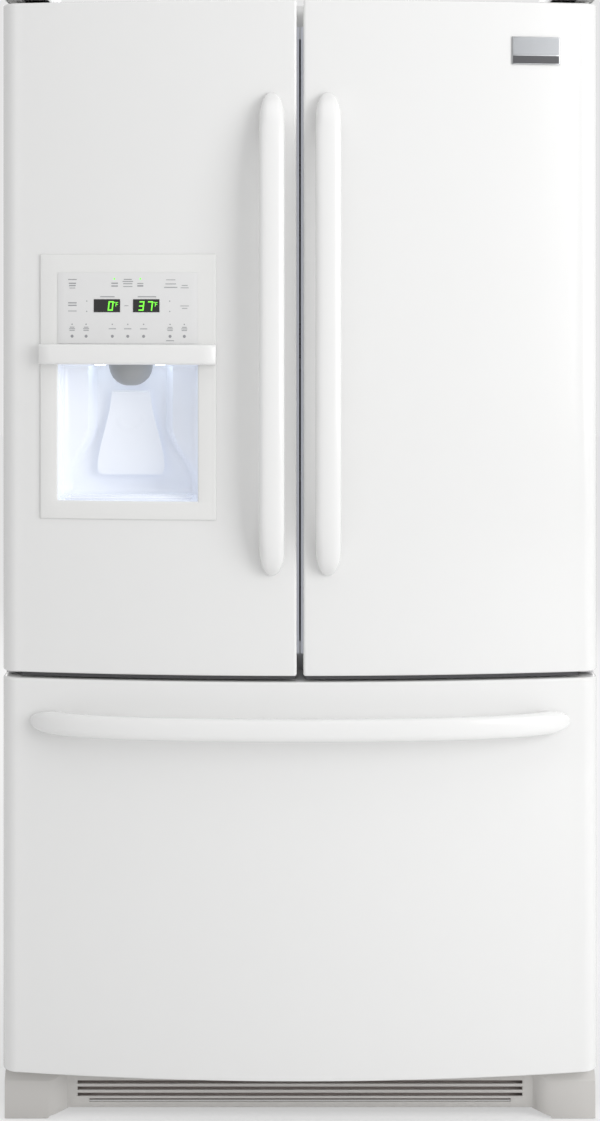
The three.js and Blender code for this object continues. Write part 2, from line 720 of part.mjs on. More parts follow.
function doorHandle(side) {
  const centre = side * doorHandleOffset;
  const surface = frontAt(doorHandleOffset);
  const outline = handleOutline(doorHandleBottom, doorHandleTop, () => surface, 46);
  const arch = sweep(outline.map((p) => v2(p.y, p.x)), "x", centre - handleWidth, centre + handleWidth);
  const face = ellipseEnded(doorHandleBottom, doorHandleTop, handleWidth / 2, 42);
  const upright = face.map((p) => v2(centre + p.y, p.x));
  const front = sweep(upright, "y", surface - handleStandoff - 5, surface + 10);
  const [x0, x1] = [centre - handleWidth, centre + handleWidth];
  const door = bowedBlock(x0, x1, seat, doorBack, doorHandleBottom - 5, doorHandleTop + 5, 10);
  return cut(arch.intersect(front), door);
}

function drawerHandle() {
  const outline = handleOutline(-drawerHandleHalf, drawerHandleHalf, frontAt, 52);
  const [below, above] = [drawerHandleHeight - drawerHandleWidth, drawerHandleHeight + drawerHandleWidth];
  const arch = sweep(outline, "z", below, above);
  const face = ellipseEnded(-drawerHandleHalf, drawerHandleHalf, drawerHandleWidth / 2, 46);
  const front = sweep(face.map((p) => v2(p.x, drawerHandleHeight + p.y)), "y", -frontReach - 5, doorEdge);
  const reach = drawerHandleHalf + 5;
  const door = bowedBlock(-reach, reach, seat, doorBack, below - 16, above + 16, 40);
  return cut(arch.intersect(front), door);
}

// ---------------------------------------------------------------- dispenser in the left door
const bezelProud = 3;
const pocketMargin = 6; // the bezel overlaps the hole in the door by this much
const panelProud = 4.5;
const panelDepth = 6;
const trimProud = 22;
const nicheBack = frontAt(nicheCentre) + nicheDepth;
const housingWall = 3;
const bulgeReach = 40;
const ductReach = 128;
const ductBottom = bezelTop + 27;
const ductTop = shelfLevels.ice_side + 142;
const bezelLeft = nicheCentre - bezelWidth / 2;
const bezelRight = nicheCentre + bezelWidth / 2;
const nicheLeft = nicheCentre - nicheWidth / 2;
const nicheRight = nicheCentre + nicheWidth / 2;
const paddleAxisY = nicheBack - 11;
const paddleAxisZ = nicheTop - 45;
const paddleHalf = 30;
const paddleRod = 3;

function dispenserPocket() {
  const [x0, x1] = [bezelLeft + pocketMargin, bezelRight - pocketMargin];
  const back = nicheBack + housingWall + seat;
  return box(x0, x1, -frontReach, back, bezelBottom + pocketMargin, bezelTop - pocketMargin);
}

function dispenserBulge() {
  const [x0, x1] = [-inside + 32 + dikeWidth, bezelRight - 24];
  const lower = box(x0, x1, doorBack - 1, bulgeReach, railTop + 223, ductBottom);
  const duct = box(x0, x1, doorBack - 1, ductReach, ductBottom, ductTop);
  const mouthX = (-inside + iceBoxInner) / 2;
  const z0 = shelfLevels.ice_side + shelfThickness + 24;
  const [m0, m1] = [mouthX - chuteMouth / 2, mouthX + chuteMouth / 2];
  const mouth = box(m0, m1, bulgeReach, ductReach + 1, z0, z0 + chuteMouth);
  return cut(join(lower, duct), mouth);
}

function dispenserHousing() {
  const margin = pocketMargin + seat;
  const plate = bowedSlab(bezelLeft, bezelRight, seat, bezelProud, bezelBottom, bezelTop, 6);
  const block = bowedBlock(bezelLeft + margin, bezelRight - margin, bezelProud - 1, nicheBack + housingWall,
    bezelBottom + margin, bezelTop - margin, 6);
  const niche = bowedBlock(nicheLeft, nicheRight, 10, nicheBack, nicheBottom, nicheTop, 2);
  const panelPocket = bowedSlab(nicheLeft, nicheRight, -panelDepth, 10, trimTop, panelTop, 6);
  const [earOut, earIn] = [paddleHalf + 7, paddleHalf + 2];
  const ears = sides.map(([, side]) => {
    const [x0, x1] = [nicheCentre + side * earIn, nicheCentre + side * earOut];
    return box(x0, x1, paddleAxisY - 6, nicheBack + 1, paddleAxisZ - 7, paddleAxisZ + 7);
  });
  const [rod0, rod1] = [nicheCentre - earOut - 1, nicheCentre + earOut + 1];
  const bearing = rod("x", paddleRod + pinClearance, rod0, rod1, paddleAxisY, paddleAxisZ);
  const body = cut(join(plate, block), niche, panelPocket);
  return cut(join(body, ...ears), bearing);
}

function controlPanel() {
  return bowedSlab(nicheLeft + seat, nicheRight - seat, seat - panelDepth, panelProud,
    trimTop + seat, panelTop - seat, 6);
}

function dispenserTrim() {
  return bowedSlab(bezelLeft, bezelRight, bezelProud + seat, trimProud, nicheTop, trimTop, 8);
}

const chuteRadius = 32;
const chuteDrop = 31;

function iceChute() {
  const top = nicheTop - seat;
  const [cx, cy] = [nicheCentre + 5, frontAt(nicheCentre) + chuteRadius + 6];
  const outer = arc(0, top, chuteRadius, 0, -66, 6);
  const inner = arc(0, top, chuteRadius - 3, -66, 0, 6);
  const ring = [...outer, ...inner, outer[0]].reverse();
  const shape = ring.map((p) => v2(p.x, top + (p.y - top) * (chuteDrop / chuteRadius)));
  return turned(shape, cx, cy, 18);
}

function dispenserPaddle() {
  const lower = nicheBottom + 34;
  const [yBack, yFront] = [paddleAxisY - 1, paddleAxisY - 5];
  const blade = sweep(
    [v2(nicheCentre - paddleHalf, paddleAxisZ), v2(nicheCentre - paddleHalf, paddleAxisZ - 50),
      v2(nicheCentre - paddleHalf - 22, lower), v2(nicheCentre + paddleHalf + 22, lower),
      v2(nicheCentre + paddleHalf, paddleAxisZ - 50), v2(nicheCentre + paddleHalf, paddleAxisZ)],
    "y", yFront, yBack,
  );
  const reach = paddleHalf + 6;
  const axle = rod("x", paddleRod, nicheCentre - reach, nicheCentre + reach, paddleAxisY, paddleAxisZ);
  return join(blade, axle);
}

// ---------------------------------------------------------------- folding mullion on the left door
const mullionX = -30;
const mullionY = 4;
const mullionBottom = dikeBottom + 7;
const mullionTop = dikeTop - 4;
const mullionPin = 3;

function foldingMullion() {
  const [x0, x1] = [mullionX - 12, mullionX + 2];
  const body = box(x0, x1, mullionY - 2, mullionY + 62, mullionBottom, mullionTop);
  const radius = mullionPin + pinClearance;
  const holes = [
    rod("z", radius, mullionBottom - 1, mullionBottom + 12, mullionX - 2, mullionY + 2, 12),
    rod("z", radius, mullionTop - 12, mullionTop + 1, mullionX - 2, mullionY + 2, 12),
  ];
  return cut(body, ...holes);
}

function mullionLugs() {
  const lug = (z0, z1, pin0, pin1) => join(
    box(mullionX - 14, mullionX, doorBack - 1, mullionY - 3, z0, z1),
    box(mullionX - 14, mullionX + 3, mullionY - 3.5, mullionY + 7, z0, z1),
    rod("z", mullionPin, pin0, pin1, mullionX - 2, mullionY + 2, 12),
  );
  return [
    lug(mullionBottom - 9, mullionBottom - seat, mullionBottom - 2, mullionBottom + 10),
    lug(mullionTop + seat, mullionTop + 9, mullionTop - 10, mullionTop + 2),
  ];
}

// ---------------------------------------------------------------- hinges
const hingePlate = 4;
const coverHeight = 28;

function topHinge(side) {
  const z0 = caseTop + seat;
  const base = box(side * (half - 62), side * (half - 6), 14, 84, z0, z0 + hingePlate);
  const arm = box(side * (axisX - 14), side * (axisX + 8), axisY - 12, 30, z0, z0 + hingePlate);
  const pin = rod("z", pinRadius, doorTop - pinDepth + 1, z0 + 1, side * axisX, axisY);
  return join(base, arm, pin);
}

function centreHinge(side) {
  const z0 = drawerTop + 2.5;
  const arm = box(side * (axisX - 12), side * (axisX + 10), axisY - 10, -seat, z0, z0 + hingePlate);
  const leaf = box(side * (half - 27), side * (half - 3), -4 - seat, -seat, z0 - 46, z0 + hingePlate);
  const pin = rod("z", pinRadius, z0 + 1, doorBottom + pinDepth - 1, side * axisX, axisY);
  return join(arm, leaf, pin);
}

function hingeCover(side) {
  const z0 = caseTop + seat;
  const [inner, outer] = [half - 70, half - 2];
  const [front, back, wall] = [axisY - 24, 98, 2.5];
  const roof = [v2(front, z0), v2(front, z0 + 16), v2(front + 14, z0 + coverHeight),
    v2(back - 8, z0 + coverHeight), v2(back, z0 + 18), v2(back, z0)];
  const shell = sweep(roof, "x", Math.min(side * inner, side * outer), Math.max(side * inner, side * outer));
  const [near, far] = [side * (inner + wall), side * (outer - wall)];
  const hollow = box(near, far, front + wall, back - wall, z0 - 1, z0 + 14);
  return cut(shell, hollow);
}

// ---------------------------------------------------------------- toe grille
const grilleFront = -44;
const grilleBottom = 13;
const grilleTop = drawerBottom - 2;
const slotHalf = half - 112;
const coverFront = -58;
const coverInner = half - 65;
const coverSweep = coverInner - 38;
const coverLift = 1.5;

function toeGrille() {
  const wall = 4;
  const bar = sweep(
    [v2(grilleFront, grilleBottom), v2(grilleFront + wall, grilleBottom),
      v2(grilleFront + wall, grilleTop - wall), v2(-seat, grilleTop - wall),
      v2(-seat, grilleTop), v2(grilleFront, grilleTop)],
    "x", -coverSweep - 20, coverSweep + 20,
  );
  const slots = [24, 32.5, 42, 51.5].map((z, row) => {
    const right = row === 0 ? slotHalf - 18 : slotHalf;
    return box(-right, right, grilleFront - 1, grilleFront + wall + 1, z - 2.6, z + 2.6);
  });
  const covers = sides.map(([, side]) => footCover(side));
  return join(cut(bar, ...slots), ...covers);
}

function footCover(side) {
  const outer = half - 2;
  const wall = 4;
  const sidewise = mirrored([v2(outer, -seat), v2(outer, coverFront), v2(coverInner, coverFront),
    ...arc(coverInner - 4, coverFront + 34, 34, -90, -165, 4), v2(coverSweep, -seat)], side);
  const plan = sweep(sidewise, "z", coverLift, grilleTop);
  const profile = sweep(
    [v2(-seat, coverLift), v2(coverFront, coverLift), v2(coverFront, 59), v2(coverFront + 15, grilleTop),
      v2(-seat, grilleTop)],
    "x", -half, half,
  );
  const hollow = box(side * (coverInner + wall), side * (outer - wall), coverFront + wall, 1, 0, 56);
  const underside = sweep(
    mirrored([v2(coverInner - 2, 0), v2(coverSweep - 5, 0), v2(coverSweep - 5, grilleBottom),
      v2(coverSweep + 12, grilleBottom - 2), v2(coverInner - 6, 5)], side), "y", coverFront - 1, 1,
  );
  return cut(plan.intersect(profile), hollow, underside);
}

// ---------------------------------------------------------------- freezer drawer front
function drawerPlan(inset, back) {
  return frontPlan(-half, half, outerCornerRadius, outerCornerRadius, inset, back, 20);
}

function drawerSkinShell() {
  const outside = sweep(drawerPlan(0, doorBack), "z", drawerBottom, drawerTop);
  const innerPlan = drawerPlan(doorSkin, doorBack + 1);
  const hollow = sweep(innerPlan, "z", drawerBottom + doorSkin, drawerTop - doorSkin);
  return cut(outside, hollow);
}

function drawerPanel() {
  const block = sweep(drawerPlan(panelSeat, doorBack), "z", drawerBottom + panelSeat, drawerTop - panelSeat);
  const raised = inside - 60;
  const raisedFace = box(-raised, raised, doorBack - 1, doorBack + 8, freezerFloor + 30, railBottom - 30);
  return join(block, raisedFace);
}

function drawerGasket() {
  return frameSeal(-gasketOuter, gasketOuter, freezerFloor - 22, railBottom + 22, gasketWidth);
}

// ---------------------------------------------------------------- bins and dairy lid of the right door
const binHeight = 112;
const binReach = 110;
const lowBinLevel = dikeBottom + dikeWidth;
const dairyLevel = dikeTop - 264;
const dairyAxisY = doorBack + 10;
const lidThickness = 3;
const dairyAxisZ = dairyLevel + binHeight + seat + lidThickness / 2;

function dairyLid() {
  const edge = dikeInner + dikeWidth + trayWall + 2 * seat;
  const outer = dikeOuter - dikeWidth - trayWall - 2 * seat;
  const [back, front] = [dairyAxisY - 1.5, binReach + 4];
  const z0 = dairyAxisZ - lidThickness / 2;
  const top = box(edge, outer, back, front, z0, z0 + lidThickness);
  const flap = box(edge, outer, front - lidThickness, front, z0 - 42, z0 + 1);
  return join(top, flap);
}

// ---------------------------------------------------------------- putting it together
place("cabinet_shell", cabinetShell(), "white_paint");
place("insulation_foam", insulationFoam(), "foam");
place("fridge_liner", fridgeLiner(), "white_plastic");
place("freezer_liner", freezerLiner(), "white_plastic");
const backEdge = half - caseSkin;
place(
  "rear_panel",
  box(-backEdge, backEdge, caseDepth - caseSkin, caseDepth, machineRoomTop, caseTop - caseSkin),
  "galvanised",
);
place("machine_cover", machineCover(), "galvanised");
place("base_frame", baseFrame(), "galvanised");
place("toe_grille", toeGrille(), "grey_plastic");

place("compressor", compressor(), "coated_steel");
place("condenser_coil", condenserCoil(), "coated_steel");
place("fan_shroud", fanShroud(), "black_plastic");
place("condenser_fan", condenserFan(), "black_plastic");
place("water_valve", waterValve(), "white_plastic");

for (const [name, side] of sides) {
  place(`rear_roller_${name}`, roller(side), "black_plastic");
  place(`leveling_leg_${name}`, levelingLeg(side), "steel");
  place(`top_hinge_${name}`, topHinge(side), "steel");
  place(`centre_hinge_${name}`, centreHinge(side), "steel");
  place(`hinge_cover_${name}`, hingeCover(side), "white_plastic");
  place(`slide_rail_${name}`, slideRail(side), "galvanised");
  place(`slide_middle_${name}`, slideMiddle(side), "galvanised");
  place(`drawer_bracket_${name}`, drawerBracket(side), "galvanised");
  place(`crisper_${name}`, crisper(side), "clear_plastic");
}

place("ice_maker_housing", iceMakerHousing(), "white_plastic");
place("shelf_ice_side", shelf(-inside, 0, shelfLevels.ice_side), "glass");
place("shelf_milk_side", shelf(0, inside, shelfLevels.milk_side), "glass");
place("shelf_full", shelf(-inside, inside, shelfLevels.full), "glass");
place("crisper_cover", shelf(-inside, inside, shelfLevels.crisper), "glass");
place("upper_basket", upperBasket(), "clear_plastic");

place("left_door_skin", cut(doorSkinShell(-1), dispenserPocket()), "white_paint");
place(
  "left_door_liner",
  cut(join(doorPanel(-1), dispenserBulge(), ...mullionLugs()), dispenserPocket()),
  "white_plastic",
);
place("left_door_gasket", doorGasket(-1), "seal_rubber");
place("left_door_handle", doorHandle(-1), "white_plastic");
place("left_door_bin", doorBin(-1, lowBinLevel, binHeight, binReach), "clear_plastic");
place("dispenser_housing", dispenserHousing(), "white_plastic");
place("control_panel", controlPanel(), "panel_grey");
place("dispenser_trim", dispenserTrim(), "white_plastic");
place("ice_chute", iceChute(), "grey_plastic");
place("dispenser_paddle", dispenserPaddle(), "clear_plastic");
place("folding_mullion", foldingMullion(), "white_plastic");

place("right_door_skin", doorSkinShell(1), "white_paint");
place("right_door_liner", doorPanel(1), "white_plastic");
place("right_door_gasket", doorGasket(1), "seal_rubber");
place("right_door_handle", doorHandle(1), "white_plastic");
place("right_bin_lower", doorBin(1, lowBinLevel, binHeight, binReach), "clear_plastic");
place("right_bin_upper", doorBin(1, dairyLevel, binHeight, binReach), "clear_plastic");
place("dairy_lid", dairyLid(), "clear_plastic");

place("drawer_skin", drawerSkinShell(), "white_paint");
place("drawer_liner", drawerPanel(), "white_plastic");
place("drawer_gasket", drawerGasket(), "seal_rubber");
place("drawer_handle", drawerHandle(), "white_plastic");
place("lower_basket", lowerBasket(), "clear_plastic");

export default refrigerator;
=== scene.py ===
"""A white french door refrigerator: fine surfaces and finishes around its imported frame. Metres, +Z up."""

import math

import bmesh
import bpy
from mathutils import Matrix, Vector
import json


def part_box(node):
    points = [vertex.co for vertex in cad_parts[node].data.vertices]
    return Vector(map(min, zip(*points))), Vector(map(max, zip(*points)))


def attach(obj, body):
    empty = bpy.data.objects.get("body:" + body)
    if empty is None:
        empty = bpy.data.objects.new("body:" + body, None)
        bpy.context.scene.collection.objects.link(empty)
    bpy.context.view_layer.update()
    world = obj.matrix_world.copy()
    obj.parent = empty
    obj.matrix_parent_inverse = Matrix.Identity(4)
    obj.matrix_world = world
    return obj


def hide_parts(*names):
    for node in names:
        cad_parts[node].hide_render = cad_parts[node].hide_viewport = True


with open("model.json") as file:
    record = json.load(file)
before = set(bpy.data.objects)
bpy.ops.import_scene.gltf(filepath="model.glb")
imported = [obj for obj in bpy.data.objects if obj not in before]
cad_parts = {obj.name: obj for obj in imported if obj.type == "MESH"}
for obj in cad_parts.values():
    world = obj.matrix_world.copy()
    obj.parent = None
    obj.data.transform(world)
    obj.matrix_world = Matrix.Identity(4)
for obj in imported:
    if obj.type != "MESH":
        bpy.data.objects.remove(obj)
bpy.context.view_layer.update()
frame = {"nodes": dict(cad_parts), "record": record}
record = frame["record"]
scene = bpy.context.scene
scene.view_settings.view_transform = "Standard"
MM = 0.001


# ---------------------------------------------------------------- camera
# A level camera at chest height, straight in front, framed down to the feet by its shift.
def make_camera():
    data = bpy.data.cameras.new("camera")
    camera = bpy.data.objects.new("camera", data)
    scene.collection.objects.link(camera)
    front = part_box("drawer_skin")[0].y
    camera.location = (0.0, front - 2.985, 1.269)
    camera.rotation_euler = (math.radians(90), 0, 0)
    data.lens = 63.87
    data.sensor_width = 36
    data.shift_y = -0.2413
    data.clip_end = 60
    scene.camera = camera


make_camera()


# ---------------------------------------------------------------- light, floor and background
def area_light(name, place, target, size, watts, colour=(1, 1, 1)):
    data = bpy.data.lights.new(name, "AREA")
    data.shape = "RECTANGLE"
    data.size, data.size_y = size
    data.energy = watts
    data.color = colour
    light = bpy.data.objects.new(name, data)
    scene.collection.objects.link(light)
    light.location = place
    light.rotation_euler = (Vector(target) - Vector(place)).to_track_quat("-Z", "Y").to_euler()


def white_for_camera(tree, shade, strength):
    """Mixes a plain white in for rays that look at the background, directly or through glass."""
    path = tree.nodes.new("ShaderNodeLightPath")
    rays = tree.nodes.new("ShaderNodeMath")
    rays.operation = "MAXIMUM"
    tree.links.new(path.outputs["Is Camera Ray"], rays.inputs[0])
    tree.links.new(path.outputs["Is Transmission Ray"], rays.inputs[1])
    share = tree.nodes.new("ShaderNodeMath")
    share.operation = "MULTIPLY"
    share.inputs[1].default_value = strength
    tree.links.new(rays.outputs[0], share.inputs[0])
    mix = tree.nodes.new("ShaderNodeMixShader")
    tree.links.new(share.outputs[0], mix.inputs[0])
    tree.links.new(shade, mix.inputs[1])
    return mix


def make_surroundings():
    world = bpy.data.worlds.new("studio")
    scene.world = world
    world.use_nodes = True
    tree = world.node_tree
    soft = tree.nodes["Background"]
    soft.inputs["Color"].default_value = (1.0, 1.0, 1.0, 1)
    soft.inputs["Strength"].default_value = 0.63
    bright = tree.nodes.new("ShaderNodeBackground")
    bright.inputs["Strength"].default_value = 1.0
    mix = white_for_camera(tree, soft.outputs[0], 1.0)
    tree.links.new(bright.outputs[0], mix.inputs[2])
    tree.links.new(mix.outputs[0], tree.nodes["World Output"].inputs["Surface"])

    reach = 14
    mesh = bpy.data.meshes.new("floor")
    corners = [(-reach, -reach, 0), (reach, -reach, 0), (reach, reach, 0), (-reach, reach, 0)]
    mesh.from_pydata(corners, [], [(0, 1, 2, 3)])
    floor = bpy.data.objects.new("floor", mesh)
    scene.collection.objects.link(floor)
    pale = bpy.data.materials.new("floor_white")
    pale.use_nodes = True
    tree = pale.node_tree
    shader = tree.nodes["Principled BSDF"]
    shader.inputs["Base Color"].default_value = (0.86, 0.86, 0.86, 1)
    shader.inputs["Roughness"].default_value = 0.9
    shader.inputs["Specular IOR Level"].default_value = 0.1
    glow = tree.nodes.new("ShaderNodeEmission")
    mix = white_for_camera(tree, shader.outputs[0], 0.5)
    tree.links.new(glow.outputs[0], mix.inputs[2])
    tree.links.new(mix.outputs[0], tree.nodes["Material Output"].inputs["Surface"])
    mesh.materials.append(pale)

    # a tall soft box in front to the right, a broad one overhead and a low one behind
    area_light("key", (2.8, -2.8, 1.9), (0.1, 0, 0.9), (2.2, 2.6), 66)
    area_light("top", (0.4, -1.7, 3.6), (0, -0.2, 0.7), (2.6, 1.2), 9)
    area_light("back", (0, 3.6, 2.4), (0, 0.4, 0.9), (2.8, 1.8), 40)


make_surroundings()


# ---------------------------------------------------------------- finishes
def new_group(name, inputs, outputs):
    group = bpy.data.node_groups.new(name, "ShaderNodeTree")
    for label, kind, default in inputs:
        made = group.interface.new_socket(name=label, in_out="INPUT", socket_type=kind)
        made.default_value = default
    for label, kind in outputs:
        group.interface.new_socket(name=label, in_out="OUTPUT", socket_type=kind)
    return group, group.nodes.new("NodeGroupInput"), group.nodes.new("NodeGroupOutput")


def moulded_surface_group():
    """Slow colour drift, uneven gloss and a fine skin texture, in object space."""
    group, take, give = new_group(
        "moulded_surface",
        [
            ("Colour", "NodeSocketColor", (1, 1, 1, 1)),
            ("Drift", "NodeSocketFloat", 0.03),
            ("Roughness", "NodeSocketFloat", 0.3),
            ("Spread", "NodeSocketFloat", 0.05),
            ("Grain Scale", "NodeSocketFloat", 900.0),
            ("Grain Height", "NodeSocketFloat", 0.05),
            ("Stretch", "NodeSocketVector", (1, 1, 1)),
        ],
        [("Colour", "NodeSocketColor"), ("Roughness", "NodeSocketFloat"), ("Normal", "NodeSocketVector")],
    )
    nodes, link = group.nodes, group.links.new
    where = nodes.new("ShaderNodeTexCoord")
    slow = nodes.new("ShaderNodeTexNoise")
    slow.inputs["Scale"].default_value = 3.0
    slow.inputs["Detail"].default_value = 3.0
    link(where.outputs["Object"], slow.inputs["Vector"])
    shift = nodes.new("ShaderNodeMath")
    shift.operation = "SUBTRACT"
    shift.inputs[1].default_value = 0.5
    link(slow.outputs["Fac"], shift.inputs[0])
    drift = nodes.new("ShaderNodeMath")
    drift.operation = "MULTIPLY_ADD"
    drift.inputs[2].default_value = 1.0
    link(shift.outputs[0], drift.inputs[0])
    link(take.outputs["Drift"], drift.inputs[1])
    tone = nodes.new("ShaderNodeVectorMath")
    tone.operation = "SCALE"
    link(take.outputs["Colour"], tone.inputs[0])
    link(drift.outputs[0], tone.inputs["Scale"])
    link(tone.outputs[0], give.inputs["Colour"])
    gloss = nodes.new("ShaderNodeMath")
    gloss.operation = "MULTIPLY_ADD"
    link(shift.outputs[0], gloss.inputs[0])
    link(take.outputs["Spread"], gloss.inputs[1])
    link(take.outputs["Roughness"], gloss.inputs[2])
    link(gloss.outputs[0], give.inputs["Roughness"])
    stretch = nodes.new("ShaderNodeVectorMath")
    stretch.operation = "MULTIPLY"
    link(where.outputs["Object"], stretch.inputs[0])
    link(take.outputs["Stretch"], stretch.inputs[1])
    fine = nodes.new("ShaderNodeTexNoise")
    fine.inputs["Detail"].default_value = 2.0
    link(stretch.outputs[0], fine.inputs["Vector"])
    link(take.outputs["Grain Scale"], fine.inputs["Scale"])
    bump = nodes.new("ShaderNodeBump")
    bump.inputs["Distance"].default_value = 0.0004
    link(fine.outputs["Fac"], bump.inputs["Height"])
    link(take.outputs["Grain Height"], bump.inputs["Strength"])
    link(bump.outputs["Normal"], give.inputs["Normal"])
    return group


moulded_surface = moulded_surface_group()
finishes = {}


def finish(name, colour, rough, drift=0.03, spread=0.06, scale=900.0, height=0.05, stretch=(1, 1, 1),
           **shader_values):
    """A material on the shared surface group; shader_values go straight onto the shader's own sockets."""
    material = bpy.data.materials.new(name)
    material.use_nodes = True
    tree = material.node_tree
    shader = tree.nodes["Principled BSDF"]
    surface = tree.nodes.new("ShaderNodeGroup")
    surface.node_tree = moulded_surface
    surface.inputs["Colour"].default_value = (*colour, 1)
    for label, value in (("Drift", drift), ("Roughness", rough), ("Spread", spread),
                         ("Grain Scale", scale), ("Grain Height", height), ("Stretch", stretch)):
        surface.inputs[label].default_value = value
    tree.links.new(surface.outputs["Colour"], shader.inputs["Base Color"])
    tree.links.new(surface.outputs["Roughness"], shader.inputs["Roughness"])
    tree.links.new(surface.outputs["Normal"], shader.inputs["Normal"])
    for label, value in shader_values.items():
        shader.inputs[label.replace("_", " ")].default_value = value
    finishes[name] = material
    return material


finish("enamel", (0.86, 0.86, 0.855), 0.2, 0.01, 0.05, 520.0, 0.045, Coat_Weight=0.5, Coat_Roughness=0.08)
finish("handle_white", (0.88, 0.88, 0.875), 0.26, 0.01, 0.05, 700.0, 0.03,
       Coat_Weight=0.3, Coat_Roughness=0.12)
finish("moulded_white", (0.85, 0.85, 0.84), 0.38, 0.015, 0.08, 1400.0, 0.12)
finish("liner_white", (0.84, 0.85, 0.85), 0.42, 0.015, 0.08, 1100.0, 0.15)
finish("panel_film", (0.81, 0.81, 0.81), 0.3, 0.01, 0.04, 2200.0, 0.08)
finish("grille_grey", (0.60, 0.585, 0.565), 0.5, 0.03, 0.1, 1500.0, 0.2)
finish("chute_grey", (0.36, 0.37, 0.38), 0.42, 0.03, 0.08, 1500.0, 0.12)
finish("moulded_black", (0.022, 0.022, 0.024), 0.5, 0.1, 0.1, 1600.0, 0.25)
finish("black_enamel", (0.02, 0.02, 0.022), 0.42, 0.1, 0.12, 700.0, 0.2, Coat_Weight=0.2)
finish("clear_tray", (0.86, 0.92, 0.93), 0.12, 0.01, 0.05, 800.0, 0.05,
       Transmission_Weight=0.85, IOR=1.2, Alpha=0.5)
finish("basket_white", (0.85, 0.85, 0.85), 0.35, 0.01, 0.06, 900.0, 0.06)
finish("shelf_glass", (0.80, 0.92, 0.88), 0.04, 0.01, 0.02, 300.0, 0.01,
       Transmission_Weight=1.0, IOR=1.45, Alpha=0.55)
finish("seal_grey", (0.66, 0.66, 0.65), 0.62, 0.03, 0.08, 1300.0, 0.2)
finish("zinc_sheet", (0.56, 0.57, 0.58), 0.42, 0.12, 0.25, 60.0, 0.15, (1, 1, 1), Metallic=0.9)
finish("plated_steel", (0.60, 0.60, 0.61), 0.32, 0.05, 0.12, 400.0, 0.12, (1, 1, 12), Metallic=1.0)
finish("badge_silver", (0.46, 0.47, 0.48), 0.3, 0.02, 0.06, 900.0, 0.08, (1, 1, 14), Metallic=0.85)
finish("badge_field", (0.36, 0.37, 0.385), 0.38, 0.03, 0.06, 1200.0, 0.1, (1, 1, 16), Metallic=0.8)
finish("badge_dark", (0.085, 0.085, 0.09), 0.4, 0.03, 0.06, 900.0, 0.05, Metallic=0.4)
# seal lip finish: a grey-blue glow though the seal is no lamp, painted light that lifts the dark gap between
# the doors
finish("seal_lip_painted_glow", (0.42, 0.43, 0.46), 0.6, 0.02, 0.08, 1300.0, 0.1,
       Emission_Color=(0.62, 0.64, 0.7, 1), Emission_Strength=0.45)
# dark strips under the doors: painted shade in the gap between the doors and the drawer
finish("door_strip_painted_shade", (0.075, 0.075, 0.08), 0.6, 0.03, 0.08, 1300.0, 0.2)
# dark brownish plate behind the toe grille: painted shade showing through its slots
finish("screen_painted_shade", (0.29, 0.245, 0.23), 0.6, 0.05, 0.08, 900.0, 0.2)
finish("hinge_paint", (0.62, 0.62, 0.61), 0.4, 0.02, 0.08, 900.0, 0.1)
finish("foam_core", (0.80, 0.68, 0.38), 0.85, 0.08, 0.05, 500.0, 0.6)
finish("print_grey", (0.33, 0.335, 0.35), 0.5, 0.02, 0.05, 900.0, 0.02)
finish("display_black", (0.008, 0.009, 0.008), 0.14, 0.05, 0.02, 900.0, 0.01, Coat_Weight=0.6)
finish("digit_green", (0.16, 0.7, 0.05), 0.4, 0.02, 0.02, 900.0, 0.0,
       Emission_Color=(0.22, 1.0, 0.06, 1), Emission_Strength=0.75)
finish("lamp_white", (0.9, 0.93, 1.0), 0.3, 0.0, 0.02, 900.0, 0.0,
       Emission_Color=(0.75, 0.87, 1.0, 1), Emission_Strength=6.0)
finish("lamp_soft", (0.9, 0.93, 1.0), 0.35, 0.0, 0.02, 900.0, 0.0,
       Emission_Color=(1.0, 0.98, 0.95, 1), Emission_Strength=0.35)
# niche finish glows faintly blue-white: painted light standing in for the lamps' light on the niche walls,
# paddle, drip tray and grate
finish("niche_white_painted_glow", (0.82, 0.84, 0.88), 0.22, 0.02, 0.04, 700.0, 0.02, Coat_Weight=0.4, Coat_Roughness=0.1,
       Emission_Color=(0.74, 0.82, 1.0, 1), Emission_Strength=0.17)

slot_finish = {
    "white_paint": "enamel", "handle_white": "handle_white", "white_plastic": "liner_white",
    "panel_grey": "panel_film", "grey_plastic": "grille_grey", "black_plastic": "moulded_black",
    "clear_plastic": "clear_tray", "basket_white": "basket_white", "shelf_glass": "shelf_glass",
    "seal_rubber": "seal_grey", "galvanised": "zinc_sheet", "hinge_steel": "plated_steel",
    "coated_steel": "black_enamel", "foam": "foam_core",
}
node_slot = {row["node"]: row["material_slot"] for row in record["subparts"]}
node_body = {node: body for body, group in record["behaviour"]["bodies"].items() for node in group}
for name, node in frame["nodes"].items():
    node.data.materials.clear()
    node.data.materials.append(finishes[slot_finish[node_slot[name]]])


# ---------------------------------------------------------------- sizes from the frame
drawer_low, drawer_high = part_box("drawer_skin")
left_low, left_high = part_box("left_door_skin")
right_low, right_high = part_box("right_door_skin")
case_low, case_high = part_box("cabinet_shell")
half_width = drawer_high.x
door_back = drawer_high.y
front_centre = drawer_low.y
bow = 40 * MM
bow_radius = (half_width**2 + bow**2) / (2 * bow)
outer_radius = 27 * MM
inner_radius = 4 * MM
sheet = 2 * MM
gap = 0.3 * MM
liner_wall = 3 * MM


def front_at(x):
    """y of the bowed front of the doors and drawer at x."""
    return front_centre + bow_radius - math.sqrt(bow_radius**2 - x**2)


